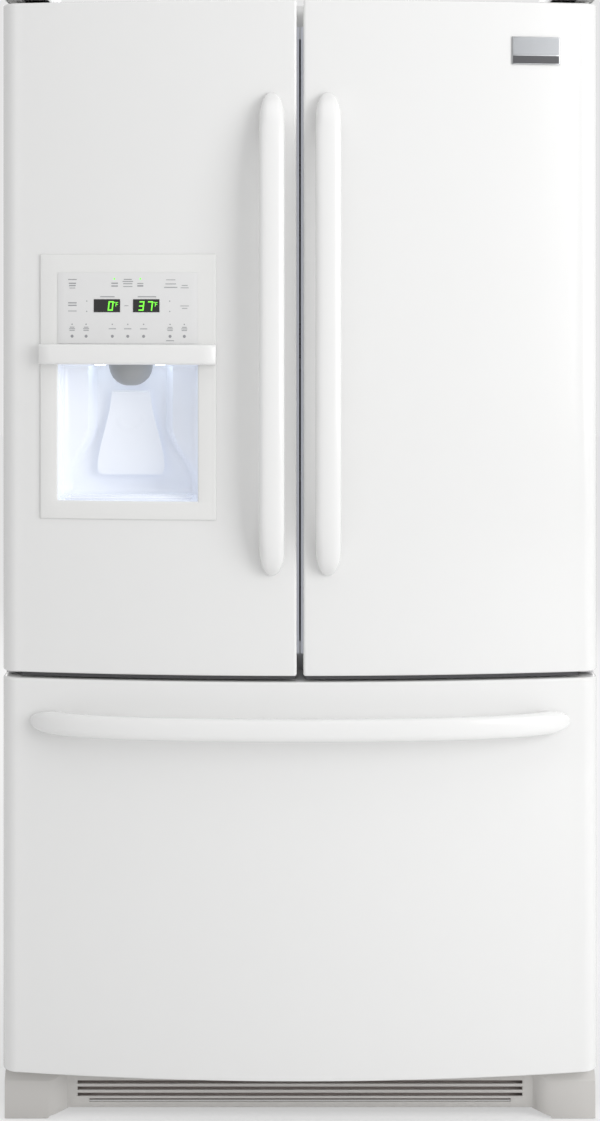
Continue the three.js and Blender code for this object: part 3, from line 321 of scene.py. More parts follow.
# ---------------------------------------------------------------- making pieces
def hand_over(mesh, name, body, material, replaces=(), angle=32.0, slot=None):
    """Links a finished mesh as a piece that rides on a body, smooth but for its real edges."""
    mesh.name = name
    mesh.shade_smooth()
    mesh.set_sharp_from_angle(angle=math.radians(angle))
    if not mesh.materials:
        mesh.materials.append(finishes[material])
    piece = bpy.data.objects.new(name, mesh)
    scene.collection.objects.link(piece)
    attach(piece, body)
    if replaces:
        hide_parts(*replaces)
    if slot is None and replaces:
        slot = node_slot[replaces[0]]
    return piece


def mesh_from(points, faces):
    mesh = bpy.data.meshes.new("shape")
    mesh.from_pydata([tuple(p) for p in points], [], faces)
    mesh.validate()
    return mesh


def outward(mesh):
    """Merges doubles and turns every face of a closed mesh outwards."""
    form = bmesh.new()
    form.from_mesh(mesh)
    bmesh.ops.remove_doubles(form, verts=form.verts, dist=1e-6)
    bmesh.ops.recalc_face_normals(form, faces=form.faces)
    form.to_mesh(mesh)
    form.free()
    return mesh


def modified(mesh, *modifiers):
    """The mesh with modifiers applied; each is (type, {setting: value})."""
    holder = bpy.data.objects.new("holder", mesh)
    scene.collection.objects.link(holder)
    for kind, settings in modifiers:
        made = holder.modifiers.new(kind.lower(), kind)
        for key, value in settings.items():
            setattr(made, key, value)
    bpy.context.view_layer.update()
    ready = holder.evaluated_get(bpy.context.evaluated_depsgraph_get())
    result = bpy.data.meshes.new_from_object(ready)
    bpy.data.objects.remove(holder)
    return result


def bevel(width, segments=2, angle=30.0):
    return ("BEVEL", {"width": width, "segments": segments, "limit_method": "ANGLE",
                      "angle_limit": math.radians(angle), "use_clamp_overlap": True})


def softened(node, width=0.8 * MM, segments=2, material=None, angle=32.0):
    """A node's own shape with its coplanar triangles merged and its edges rounded."""
    mesh = frame["nodes"][node].data.copy()
    form = bmesh.new()
    form.from_mesh(mesh)
    bmesh.ops.remove_doubles(form, verts=form.verts, dist=2e-5)
    bmesh.ops.dissolve_limit(form, angle_limit=math.radians(1.0), verts=form.verts, edges=form.edges)
    form.to_mesh(mesh)
    form.free()
    kept = list(mesh.materials)
    mesh.materials.clear()
    mesh = modified(mesh, bevel(width, segments))
    mesh.materials.clear()
    mesh.materials.append(finishes[material] if material else kept[0])
    return hand_over(mesh, node + "_moulded", node_body[node], None, [node], angle)


def rounded_box(low, high, radius=0.8 * MM, segments=2):
    form = bmesh.new()
    bmesh.ops.create_cube(form, size=1.0)
    size = Vector(high) - Vector(low)
    bmesh.ops.scale(form, vec=size, verts=form.verts)
    bmesh.ops.translate(form, vec=(Vector(low) + Vector(high)) / 2, verts=form.verts)
    limit = min(size) * 0.45
    bmesh.ops.bevel(form, geom=form.edges, offset=min(radius, limit), segments=segments, profile=0.5,
                    affect="EDGES")
    mesh = bpy.data.meshes.new("box")
    form.to_mesh(mesh)
    form.free()
    return mesh


def joined(meshes):
    form = bmesh.new()
    for mesh in meshes:
        form.from_mesh(mesh)
    result = bpy.data.meshes.new("joined")
    form.to_mesh(result)
    form.free()
    return result


def lathe(profile, centre, steps=32, axis="Z"):
    """A closed turned shape from (radius, height) points, round an axis through centre."""
    points, faces = [], []
    rows = len(profile)
    for i in range(steps):
        turn = 2 * math.pi * i / steps
        for radius, height in profile:
            points.append(Vector((radius * math.cos(turn), radius * math.sin(turn), height)))
    for i in range(steps):
        j = (i + 1) % steps
        for k in range(rows - 1):
            faces.append((i * rows + k, j * rows + k, j * rows + k + 1, i * rows + k + 1))
    turn_to = {"Z": Matrix.Identity(3), "Y": Matrix.Rotation(math.radians(-90), 3, "X"),
               "X": Matrix.Rotation(math.radians(90), 3, "Y")}[axis]
    points = [turn_to @ p + Vector(centre) for p in points]
    mesh = mesh_from(points, faces)
    form = bmesh.new()
    form.from_mesh(mesh)
    bmesh.ops.remove_doubles(form, verts=form.verts, dist=1e-6)
    bmesh.ops.dissolve_degenerate(form, dist=1e-7, edges=form.edges)
    bmesh.ops.holes_fill(form, edges=[e for e in form.edges if e.is_boundary], sides=0)
    bmesh.ops.recalc_face_normals(form, faces=form.faces)
    form.to_mesh(mesh)
    form.free()
    return mesh


def bowed_block(x0, x1, proud_back, proud_front, z0, z1, steps=16):
    """A block that follows the bowed front, from proud_back to proud_front in front of it."""
    points, faces = [], []
    for i in range(steps + 1):
        x = x0 + (x1 - x0) * i / steps
        for proud, z in ((proud_front, z0), (proud_front, z1), (proud_back, z1), (proud_back, z0)):
            points.append((x, front_at(x) - proud, z))
    for i in range(steps):
        for k in range(4):
            n = (k + 1) % 4
            faces.append((i * 4 + k, i * 4 + n, i * 4 + 4 + n, i * 4 + 4 + k))
    faces.append((0, 1, 2, 3))
    last = steps * 4
    faces.append((last + 3, last + 2, last + 1, last))
    return outward(mesh_from(points, faces))


# ---------------------------------------------------------------- painted skins
def skin_plan(x0, x1, r0, r1, inset):
    """Plan points of a front, from its back at x0 round the bow to its back at x1."""
    points = []

    def corner(cx, radius, start, steps):
        cy = front_at(cx) + inset + radius
        for i in range(steps + 1):
            turn = math.radians(start + 90 * i / steps)
            points.append(Vector((cx + radius * math.cos(turn), cy + radius * math.sin(turn), 0)))

    left, right = x0 + inset, x1 - inset
    ra, rb = max(r0 - inset, 0.5 * MM), max(r1 - inset, 0.5 * MM)
    points.append(Vector((left, door_back, 0)))
    corner(left + ra, ra, 180, 10)
    count = 40
    for i in range(1, count):
        x = left + ra + (right - rb - left - ra) * i / count
        points.append(Vector((x, front_at(x) + inset, 0)))
    corner(right - rb, rb, 270, 10)
    points.append(Vector((right, door_back, 0)))
    return points


def skin_mesh(x0, x1, r0, r1, z0, z1):
    """The folded sheet: caps above and below, rounded rims and a bowed face, then its thickness."""
    rim = 3.5 * MM
    rim_steps = 5
    rows = []
    shrink = [0.75, 0.5, 0.25, 0.08]

    def cap(z, shares):
        base = skin_plan(x0, x1, r0, r1, rim)
        for share in shares:
            rows.append([Vector((p.x, p.y + (door_back - p.y) * share, z)) for p in base])

    def rim_row(z, side, turn):
        plan = skin_plan(x0, x1, r0, r1, rim * (1 - math.sin(turn)))
        rows.append([Vector((p.x, p.y, z + side * rim * (1 - math.cos(turn)))) for p in plan])

    cap(z0, [1.0] + shrink)
    for i in range(rim_steps + 1):
        rim_row(z0, 1, math.radians(90 * i / rim_steps))
    for i in range(rim_steps + 1):
        rim_row(z1, -1, math.radians(90 * (1 - i / rim_steps)))
    cap(z1, shrink[::-1] + [1.0])
    width = len(rows[0])
    points = [p for row in rows for p in row]
    faces = []
    for j in range(len(rows) - 1):
        for i in range(width - 1):
            a = j * width + i
            faces.append((a, a + 1, a + width + 1, a + width))
    mesh = mesh_from(points, faces)
    form = bmesh.new()
    form.from_mesh(mesh)
    bmesh.ops.remove_doubles(form, verts=form.verts, dist=1e-6)
    bmesh.ops.recalc_face_normals(form, faces=form.faces)
    middle = Vector(((x0 + x1) / 2, door_back, (z0 + z1) / 2))
    face = max(form.faces, key=lambda f: f.calc_area())
    if face.normal.dot(face.calc_center_median() - middle) < 0:
        bmesh.ops.reverse_faces(form, faces=form.faces)
    form.to_mesh(mesh)
    form.free()
    return modified(mesh, ("SOLIDIFY", {"thickness": sheet, "offset": -1.0}))


def cut_by(mesh, cutter):
    tool = bpy.data.objects.new("cutter", cutter)
    scene.collection.objects.link(tool)
    result = modified(mesh, ("BOOLEAN", {"operation": "DIFFERENCE", "object": tool, "solver": "EXACT"}))
    bpy.data.objects.remove(tool)
    return result


bezel_low, bezel_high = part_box("dispenser_housing")


def make_skins():
    left = skin_mesh(left_low.x, left_high.x, outer_radius, inner_radius, left_low.z, left_high.z)
    margin = 6 * MM
    pocket = rounded_box(
        (bezel_low.x + margin, bezel_low.y - 50 * MM, bezel_low.z + margin),
        (bezel_high.x - margin, door_back + 20 * MM, bezel_high.z - margin),
        3 * MM,
    )
    left = cut_by(left, pocket)
    hand_over(left, "left_door_outer", "left_door", "enamel", ["left_door_skin"])
    right = skin_mesh(right_low.x, right_high.x, inner_radius, outer_radius, right_low.z, right_high.z)
    hand_over(right, "right_door_outer", "right_door", "enamel", ["right_door_skin"])
    drawer = skin_mesh(drawer_low.x, drawer_high.x, outer_radius, outer_radius, drawer_low.z, drawer_high.z)
    hand_over(drawer, "drawer_outer", "freezer_drawer", "enamel", ["drawer_skin"])


make_skins()


# ---------------------------------------------------------------- handles
def loft(rings, close_ends=True):
    """A closed tube through rings of equal point counts."""
    count = len(rings[0])
    points = [p for ring in rings for p in ring]
    faces = []
    for j in range(len(rings) - 1):
        for i in range(count):
            n = (i + 1) % count
            faces.append((j * count + i, j * count + n, (j + 1) * count + n, (j + 1) * count + i))
    if close_ends:
        faces.append(tuple(range(count - 1, -1, -1)))
        last = (len(rings) - 1) * count
        faces.append(tuple(range(last, last + count)))
    return outward(mesh_from(points, faces))


def handle_rings(start, end, half_breadth, standoff, thickness, point_at, surface_at):
    """Rings along a bow handle: it rises from the front, runs proud of it and comes back.

    point_at(s, across, y) turns a place along, across and out from the front into a point.
    """
    rings = []
    count, around = 72, 24
    middle, reach = (start + end) / 2, (end - start) / 2
    foot = 44 * MM
    for i in range(count + 1):
        u = math.sin(math.pi / 2 * (2 * i / count - 1))
        s = middle + u * reach * 0.9995
        edge = min(abs(s - start), abs(end - s))
        share = min(edge / foot, 1.0)
        breadth = half_breadth * math.sqrt(max(0.0, 1 - (1 - share) ** 2)) + 0.4 * MM
        breadth = min(breadth, half_breadth)
        lift = standoff * math.sqrt(max(0.0, 1 - abs(u) ** 4))
        inner_reach = max(0.0, 1 - (abs(u) * reach / (reach - foot)) ** 5)
        under = (standoff - thickness) * math.sqrt(inner_reach)
        outer_y = surface_at(s) - max(lift, 0.8 * MM)
        inner_y = surface_at(s) - max(under, gap)
        middle_y, half_depth = (outer_y + inner_y) / 2, (inner_y - outer_y) / 2
        ring = []
        for k in range(around):
            turn = 2 * math.pi * k / around
            c, d = math.cos(turn), math.sin(turn)
            power = 0.75
            across = breadth * math.copysign(abs(c) ** power, c)
            out = middle_y - half_depth * math.copysign(abs(d) ** power, d)
            ring.append(point_at(s, across, out))
        rings.append(ring)
    return rings


def make_handles():
    for side, node in (("left", "left_door_handle"), ("right", "right_door_handle")):
        low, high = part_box(node)
        centre = (low.x + high.x) / 2
        surface = front_at(centre)
        rings = handle_rings(
            low.z, high.z, (high.x - low.x) / 2, surface - low.y, 20 * MM,
            lambda s, across, y, c=centre: Vector((c + across, y, s)),
            lambda s, y=surface: y,
        )
        hand_over(loft(rings), side + "_door_grip", side + "_door", "handle_white", [node], 50)
    low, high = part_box("drawer_handle")
    level = (low.z + high.z) / 2
    rings = handle_rings(
        low.x, high.x, (high.z - low.z) / 2, front_centre - low.y, 20 * MM,
        lambda s, across, y: Vector((s, y, level + across)),
        front_at,
    )
    hand_over(loft(rings), "drawer_grip", "freezer_drawer", "handle_white", ["drawer_handle"], 50)


make_handles()


# ---------------------------------------------------------------- dispenser
trim_low, trim_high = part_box("dispenser_trim")
panel_low, panel_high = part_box("control_panel")
chute_low, chute_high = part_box("ice_chute")
paddle_low, paddle_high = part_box("dispenser_paddle")
niche_left, niche_right = panel_low.x - gap, panel_high.x + gap
niche_floor, niche_top = bezel_low.z + 28 * MM, trim_low.z
niche_middle = (niche_left + niche_right) / 2
niche_back = bezel_high.y - sheet
bezel_proud = 3 * MM
panel_proud = 4.5 * MM
trim_proud = 22 * MM


def smooth_step(t):
    t = min(max(t, 0.0), 1.0)
    return t * t * (3 - 2 * t)


def rear_wall(x, z):
    """The back of the niche: a channel behind the paddle that flares out into a bell."""
    flare = smooth_step((1062 * MM - z) / (95 * MM))
    half = (51 + 40 * flare) * MM
    shoulder = smooth_step((abs(x - niche_middle) - half) / (15 * MM))
    return niche_back - (26 - 12 * flare) * MM * shoulder


def surround_height(x, z):
    """y of the moulding's face at x, z: rounded rim, bowed bezel, niche walls and rear wall."""
    rim = 2.4 * MM
    face = front_at(x) - bezel_proud
    edge = min(x - bezel_low.x, bezel_high.x - x, z - bezel_low.z, bezel_high.z - z)
    if edge < rim:
        return face + rim - math.sqrt(max(0.0, rim**2 - (rim - edge) ** 2))
    inside = min(x - niche_left, niche_right - x, z - niche_floor, niche_top - z)
    if inside <= -rim:
        return face
    if inside <= 0:
        return face + rim - math.sqrt(max(0.0, rim**2 - (inside + rim) ** 2))
    full = rear_wall(x, z) - face
    fillet, draft = 12 * MM, 2.5 * MM
    if inside < draft:
        return face + rim + (full - fillet - rim) * inside / draft
    t = min((inside - draft) / fillet, 1.0)
    return face + full - fillet * (1 - math.sqrt(1 - (1 - t) ** 2))


def grid_lines(low, high, hole_low, hole_high, step):
    """Places along one side of the moulding, close together where its surface turns."""
    rim = [0, 0.15, 0.6, 1.3, 2.4]
    lip = [-2.4, -1.3, -0.6, -0.15, 0, 1.2, 2.5, 2.7, 3.3, 4.3, 6.0, 8.5, 11.5, 14.5]
    places = [low + d * MM for d in rim] + [high - d * MM for d in rim]
    places += [hole_low + d * MM for d in lip] + [hole_high - d * MM for d in lip]
    count = int((hole_high - hole_low - 34 * MM) / step)
    places += [hole_low + 17 * MM + (hole_high - hole_low - 34 * MM) * i / count for i in range(count + 1)]
    return sorted(places)


def make_surround():
    across = grid_lines(bezel_low.x, bezel_high.x, niche_left, niche_right, 4 * MM)
    up = grid_lines(bezel_low.z, bezel_high.z, niche_floor, niche_top, 5 * MM)
    points = [(x, surround_height(x, z), z) for z in up for x in across]
    wide = len(across)
    faces = []
    for j in range(len(up) - 1):
        for i in range(wide - 1):
            a = j * wide + i
            faces.append((a, a + 1, a + wide + 1, a + wide))
    mesh = mesh_from(points, faces)
    mesh = modified(mesh, ("SOLIDIFY", {"thickness": 1.6 * MM, "offset": -1.0}))
    mesh.materials.clear()
    mesh.materials.append(finishes["moulded_white"])
    # the niche faces take the glowing finish: painted light in the recess
    mesh.materials.append(finishes["niche_white_painted_glow"])
    for face in mesh.polygons:
        c = face.center
        inside = min(c.x - niche_left, niche_right - c.x, c.z - niche_floor, niche_top - c.z)
        face.material_index = 1 if inside > 0 else 0
    hand_over(mesh, "dispenser_surround", "left_door", None, ["dispenser_housing"], 38)


def bar_along_front(x0, x1, z0, z1, proud, thickness, radius, steps=28, corner=5):
    """A bar of rounded section that follows the bowed front."""
    rings = []
    for i in range(steps + 1):
        share = i / steps
        x = x0 + (x1 - x0) * share
        end = min(x - x0, x1 - x)
        short = max(radius - end, 0.0)
        shrink = radius - math.sqrt(max(0.0, radius**2 - short**2)) if end < radius else 0.0
        y_front = front_at(x) - proud + shrink
        y_back = front_at(x) - proud + thickness
        ring = []
        for cy, cz, start in (
            (y_front + radius, z1 - radius, 90),
            (y_front + radius, z0 + radius, 180),
        ):
            for k in range(corner + 1):
                turn = math.radians(start + 90 * k / corner)
                ring.append(Vector((x, cy + radius * math.cos(turn), cz + radius * math.sin(turn))))
        ring.append(Vector((x, y_back, z0)))
        ring.append(Vector((x, y_back, z1)))
        rings.append(ring)
    return loft(rings)


def make_trim():
    bar = bar_along_front(
        trim_low.x, trim_high.x, trim_low.z, trim_high.z, trim_proud, trim_proud - bezel_proud - gap, 5 * MM
    )
    hand_over(bar, "dispenser_trim_bar", "left_door", "handle_white", ["dispenser_trim"], 40)


def front_patch(x0, x1, z0, z1, proud, thickness, steps=8):
    return bowed_block(x0, x1, proud, proud + thickness, z0, z1, steps)


def follow_front(mesh, x):
    """Shears a small flat mark that was made at x so that it lies along the bowed front."""
    for vert in mesh.vertices:
        vert.co.y += front_at(vert.co.x) - front_at(x)
    return mesh


def front_disc(x, z, radius, proud, thickness, steps=20):
    """A small domed dot on the bowed front."""
    dome = [(0.0, 0.0), (radius, 0.0), (radius, thickness * 0.4), (radius * 0.7, thickness), (0.0, thickness)]
    disc = lathe([(r, -h) for r, h in dome], (x, front_at(x) - proud, z), steps, "Y")
    return follow_front(disc, x)


def make_panel():
    film = bar_along_front(
        panel_low.x, panel_high.x, panel_low.z, panel_high.z, panel_proud, panel_proud - bezel_proud - gap,
        0.9 * MM, 40, 3,
    )
    hand_over(film, "control_panel_film", "left_door", "panel_film", ["control_panel"], 40)


# segments of a seven-segment digit: top, upper right, lower right, bottom, lower left, upper left, middle
digit_segments = {"0": (0, 1, 2, 3, 4, 5), "3": (0, 1, 6, 2, 3), "7": (0, 1, 2), "F": (0, 5, 6, 4)}


def digit(sign, x, z, width, height, line, proud):
    """The lit segments of one digit as thin slanted plates, x and z at its lower left corner."""
    slant = 0.12
    half = height / 2
    ends = [
        ((0, height), (width, height)), ((width, height), (width, half)), ((width, half), (width, 0)),
        ((0, 0), (width, 0)), ((0, half), (0, 0)), ((0, height), (0, half)), ((0, half), (width, half)),
    ]
    plates = []
    for index in digit_segments[sign]:
        (xa, za), (xb, zb) = ends[index]
        grow_x = 0 if xa == xb else line * 0.15
        low = Vector((x + min(xa, xb) - line / 2 + grow_x, 0, z + min(za, zb) - line / 2))
        high = Vector((x + max(xa, xb) + line / 2 - grow_x, 0, z + max(za, zb) + line / 2))
        low.y = front_at(x) - proud - 0.2 * MM
        high.y = front_at(x) - proud
        plate = rounded_box(low, high, 0.1 * MM, 1)
        for vert in plate.vertices:
            vert.co.x += (vert.co.z - z) * slant
        plates.append(follow_front(plate, x))
    return plates


def make_displays():
    proud = panel_proud + 0.1 * MM
    windows, lit = [], []
    window = (40 * MM, 19.5 * MM)
    low_z = panel_low.z + 47.8 * MM
    for x, text in ((panel_low.x + 55.3 * MM, "0"), (panel_low.x + 115 * MM, "37")):
        windows.append(front_patch(x, x + window[0], low_z, low_z + window[1], proud, 0.5 * MM, 6))
        face = proud + 0.55 * MM
        for index, sign in enumerate(reversed(text)):
            place = x + (22 - 13 * index) * MM
            lit += digit(sign, place, low_z + 3.2 * MM, 6.0 * MM, 12.4 * MM, 1.9 * MM, face)
        lit += digit("F", x + 33.5 * MM, low_z + 9.0 * MM, 2.6 * MM, 5.6 * MM, 1.0 * MM, face)
        lit.append(front_disc(x + 32 * MM, low_z + 14.6 * MM, 1.0 * MM, face, 0.2 * MM, 10))
    hand_over(joined(windows), "display_windows", "left_door", "display_black", slot="black_plastic")
    hand_over(joined(lit), "display_digits", "left_door", "digit_green", slot="clear_plastic")


def make_key_marks():
    """Key dots, indicator points and blank label bars, as thin raised print."""
    proud = panel_proud + 0.05 * MM
    print_depth = 0.12 * MM
    marks, lamps = [], []
    keys = (22, 43.5, 83.5, 107, 131, 171, 192.5)
    dot_row, label_row, point_row = 11.5, 20.0, 29.5

    def bar(x, z, width, height=1.1):
        left = panel_low.x + (x - width / 2) * MM
        base = panel_low.z + z * MM
        marks.append(front_patch(left, left + width * MM, base, base + height * MM, proud, print_depth, 2))

    def dot(x, z, radius):
        centre = (panel_low.x + x * MM, panel_low.z + z * MM)
        marks.append(front_disc(*centre, radius * MM, proud, print_depth, 16))

    for index, x in enumerate(keys):
        dot(x, dot_row, 2.3)
        dot(x, point_row, 1.0)
        bar(x, label_row + 2.2, 11 if index in (2, 3, 4) else 9)
        if index not in (2, 3, 4):
            bar(x, label_row - 0.2, 8)
            bar(x, label_row + 4.6, 7)
    bar(keys[5], 4.4, 12)
    for x, width in ((76, 22), (136, 28)):
        bar(x, 70.4, width, 1.3)
    for x, z, width, height in (
        (22.5, 96.5, 13, 1.2), (22.5, 90.5, 11, 1.6), (22.5, 87.0, 10, 1.6), (22.5, 83.7, 9, 1.0),
        (22.5, 61.0, 13, 1.6), (22.5, 57.2, 13, 1.6), (22.5, 49.0, 13, 1.0), (105, 57.0, 6, 0.9),
        (87, 90.6, 10, 1.6), (87, 86.4, 10, 1.6), (107, 96.6, 12, 1.2), (107, 93.4, 16, 1.2),
        (107, 90.0, 14, 1.2), (107, 86.0, 14, 1.0), (126, 90.4, 9, 1.2), (126, 86.4, 9, 2.0),
        (172, 96.0, 14, 0.9), (172, 89.8, 16, 1.1), (172, 84.6, 20, 1.2), (193, 87.6, 9, 0.9),
        (193, 84.0, 12, 0.9), (193, 56.8, 13, 0.9), (193, 53.2, 8, 0.9),
    ):
        bar(x, z, width, height)
    for x in (44.5, 170.5):
        dot(x, 49.0, 0.9)
        dot(x, 64.5, 0.9)
    for x in (86.5, 126):
        lamps.append(front_disc(panel_low.x + x * MM, panel_low.z + 98 * MM, 1.3 * MM, proud, 0.3 * MM, 16))
    hand_over(joined(marks), "key_print", "left_door", "print_grey", slot="grey_plastic")
    hand_over(joined(lamps), "indicator_lamps", "left_door", "digit_green", slot="clear_plastic")


make_surround()
make_trim()
make_panel()
make_displays()
make_key_marks()


# ---------------------------------------------------------------- inside the niche
def make_paddle():
    """The push paddle: a thin dished blade that widens downwards, with a raised cradle ring."""
    top, bottom = paddle_high.z, paddle_low.z
    centre = (paddle_low.x + paddle_high.x) / 2
    half_top, half_bottom = 30 * MM, (paddle_high.x - paddle_low.x) / 2
    rows, columns = 36, 24
    points, faces = [], []
    ring_z, ring_radius = 1073 * MM, 19 * MM
    for j in range(rows + 1):
        v = j / rows
        z = top + (bottom - top) * v
        half = half_top + (half_bottom - half_top) * smooth_step(v * 1.05)
        end = min(z - bottom, 14 * MM) / (14 * MM)
        half *= 0.86 + 0.14 * math.sqrt(max(0.0, 1 - (1 - end) ** 2))
        for i in range(columns + 1):
            u = 2 * i / columns - 1
            x = centre + half * u
            dish = 2.2 * MM * (1 - u * u) * math.sin(math.pi * min(v * 1.1, 1.0))
            far = math.hypot(x - centre, z - ring_z) - ring_radius
            cradle = 1.3 * MM * math.exp(-((far / (1.8 * MM)) ** 2)) if z < ring_z else 0.0
            points.append((x, paddle_low.y + 2.6 * MM + dish - cradle, z))
    wide = columns + 1
    for j in range(rows):
        for i in range(columns):
            a = j * wide + i
            faces.append((a, a + wide, a + wide + 1, a + 1))
    mesh = mesh_from(points, faces)
    mesh = modified(mesh, ("SOLIDIFY", {"thickness": 1.8 * MM, "offset": -1.0}))
    mesh.materials.clear()
    axle = lathe([(0, -27 * MM), (2.2 * MM, -27 * MM), (2.2 * MM, 27 * MM), (0, 27 * MM)],
                 (centre, paddle_low.y + 4 * MM, top - 3 * MM), 16, "X")
    whole = outward(joined([mesh, axle]))
    # the paddle takes the niche's glowing finish: painted light
    hand_over(whole, "paddle_blade", "dispenser_paddle", "niche_white_painted_glow", ["dispenser_paddle"], 40)


def make_niche_fittings():
    """Lamp lenses either side of the chute, the chute's bowl, the water spout and the drip tray."""
    lamp_z = niche_top - 1.2 * MM
    lenses = []
    for x in (niche_middle - 46 * MM, niche_middle + 46 * MM):
        lenses.append(lathe([(0, -2 * MM), (8 * MM, -1.6 * MM), (10 * MM, 0), (0, 0)],
                            (x, niche_back - 30 * MM, lamp_z), 24))
    hand_over(joined(lenses), "niche_lamps", "left_door", "lamp_white", slot="clear_plastic")
    bowl = [(34, 0), (33.4, -6), (31.5, -13), (27.5, -21), (21.5, -27), (14, -31.5), (8, -33), (8, -30.5),
            (13, -29), (19.5, -25), (25.5, -19.5), (29.2, -12.5), (31, -6), (31.6, 0)]
    chute = lathe([(r * MM, h * MM) for r, h in bowl + bowl[:1]],
                  (niche_middle + 2 * MM, (chute_low.y + chute_high.y) / 2, chute_high.z), 40)
    hand_over(chute, "chute_bowl", "left_door", "chute_grey", ["ice_chute"], 50)
    spout = lathe([(2.6 * MM, 0), (2.6 * MM, -14 * MM), (3.6 * MM, -14 * MM), (4.4 * MM, -4 * MM),
                   (4.4 * MM, 0), (2.6 * MM, 0)],
                  (niche_middle + 5 * MM, niche_back - 14 * MM, niche_top - 1 * MM), 20)
    hand_over(spout, "water_spout", "left_door", "chute_grey", slot="grey_plastic")
    reach = niche_back - 18 * MM
    low = (niche_left + 10 * MM, front_at(niche_left) + 6 * MM, niche_floor + 0.6 * MM)
    high = (niche_right - 10 * MM, reach, niche_floor + 4 * MM)
    tray = rounded_box(low, high, 1.6 * MM, 3)
    # the drip tray glows with the niche's painted light
    hand_over(tray, "drip_tray", "left_door", "niche_white_painted_glow", slot="panel_grey")


def repeated(name, body, material, points, shape, slot):
    """Copies of a small mesh at points, made by a geometry-node tree and realised as one plain mesh."""
    tree = bpy.data.node_groups.new(name + "_tree", "GeometryNodeTree")
    tree.interface.new_socket(name="Places", in_out="INPUT", socket_type="NodeSocketGeometry")
    sockets = {}
    kinds = {"Shape": "NodeSocketObject", "Finish": "NodeSocketMaterial", "Scale": "NodeSocketFloat"}
    for label, kind in kinds.items():
        sockets[label] = tree.interface.new_socket(name=label, in_out="INPUT", socket_type=kind).identifier
    tree.interface.new_socket(name="Pieces", in_out="OUTPUT", socket_type="NodeSocketGeometry")
    nodes, link = tree.nodes, tree.links.new
    take, give = nodes.new("NodeGroupInput"), nodes.new("NodeGroupOutput")
    source = nodes.new("GeometryNodeObjectInfo")
    link(take.outputs["Shape"], source.inputs["Object"])
    spread = nodes.new("GeometryNodeInstanceOnPoints")
    link(take.outputs["Places"], spread.inputs["Points"])
    link(source.outputs["Geometry"], spread.inputs["Instance"])
    link(take.outputs["Scale"], spread.inputs["Scale"])
    real = nodes.new("GeometryNodeRealizeInstances")
    link(spread.outputs[0], real.inputs[0])
    coat = nodes.new("GeometryNodeSetMaterial")
    link(real.outputs[0], coat.inputs["Geometry"])
    link(take.outputs["Finish"], coat.inputs["Material"])
    link(coat.outputs[0], give.inputs[0])
    pattern = bpy.data.objects.new(name + "_pattern", shape)
    cloud = bpy.data.meshes.new(name + "_places")
    cloud.from_pydata([tuple(p) for p in points], [], [])
    holder = bpy.data.objects.new(name + "_holder", cloud)
    scene.collection.objects.link(pattern)
    scene.collection.objects.link(holder)
    modifier = holder.modifiers.new("copies", "NODES")
    modifier.node_group = tree
    modifier[sockets["Shape"]] = pattern
    modifier[sockets["Finish"]] = finishes[material]
    modifier[sockets["Scale"]] = 1.0
    bpy.context.view_layer.update()
    ready = holder.evaluated_get(bpy.context.evaluated_depsgraph_get())
    mesh = bpy.data.meshes.new_from_object(ready)
    bpy.data.objects.remove(holder)
    bpy.data.objects.remove(pattern)
    mesh.materials.clear()
    mesh.materials.append(finishes[material])
    return hand_over(mesh, name, body, None, slot=slot)


def make_drip_grate():
    """Slim bars side by side over the drip tray, each running across the niche."""
    pitch, reach = 6.5 * MM, (niche_right - niche_left) / 2 - 18 * MM
    nearest, farthest = front_at(niche_left) + 12 * MM, niche_back - 22 * MM
    bar = rounded_box((-reach, -1.3 * MM, 0), (reach, 1.3 * MM, 1.6 * MM), 0.5 * MM, 2)
    count = int((farthest - nearest) / pitch) + 1
    places = [(niche_middle, nearest + i * pitch, niche_floor + 3.9 * MM) for i in range(count)]
    # the grate glows with the niche's painted light
    repeated("drip_grate", "left_door", "niche_white_painted_glow", places, bar, "panel_grey")


make_paddle()
make_niche_fittings()
make_drip_grate()


# ---------------------------------------------------------------- seals, badge and lamp
def tube_frame(low_x, high_x, low_z, high_z, y, radius, sides=10):
    """A round bead that runs round a rectangle, mitred at its corners."""
    corners = [(low_x, low_z, -1, -1), (high_x, low_z, 1, -1), (high_x, high_z, 1, 1), (low_x, high_z, -1, 1)]
    rings = []
    for x, z, sx, sz in corners:
        ring = []
        for k in range(sides):
            turn = 2 * math.pi * k / sides
            out = radius * math.cos(turn)
            ring.append((x + sx * out, y + radius * math.sin(turn), z + sz * out))
        rings.append(ring)
    points = [p for ring in rings for p in ring]
    faces = []
    for j in range(4):
        n = (j + 1) % 4
        for k in range(sides):
            m = (k + 1) % sides
            faces.append((j * sides + k, j * sides + m, n * sides + m, n * sides + k))
    return outward(mesh_from(points, faces))


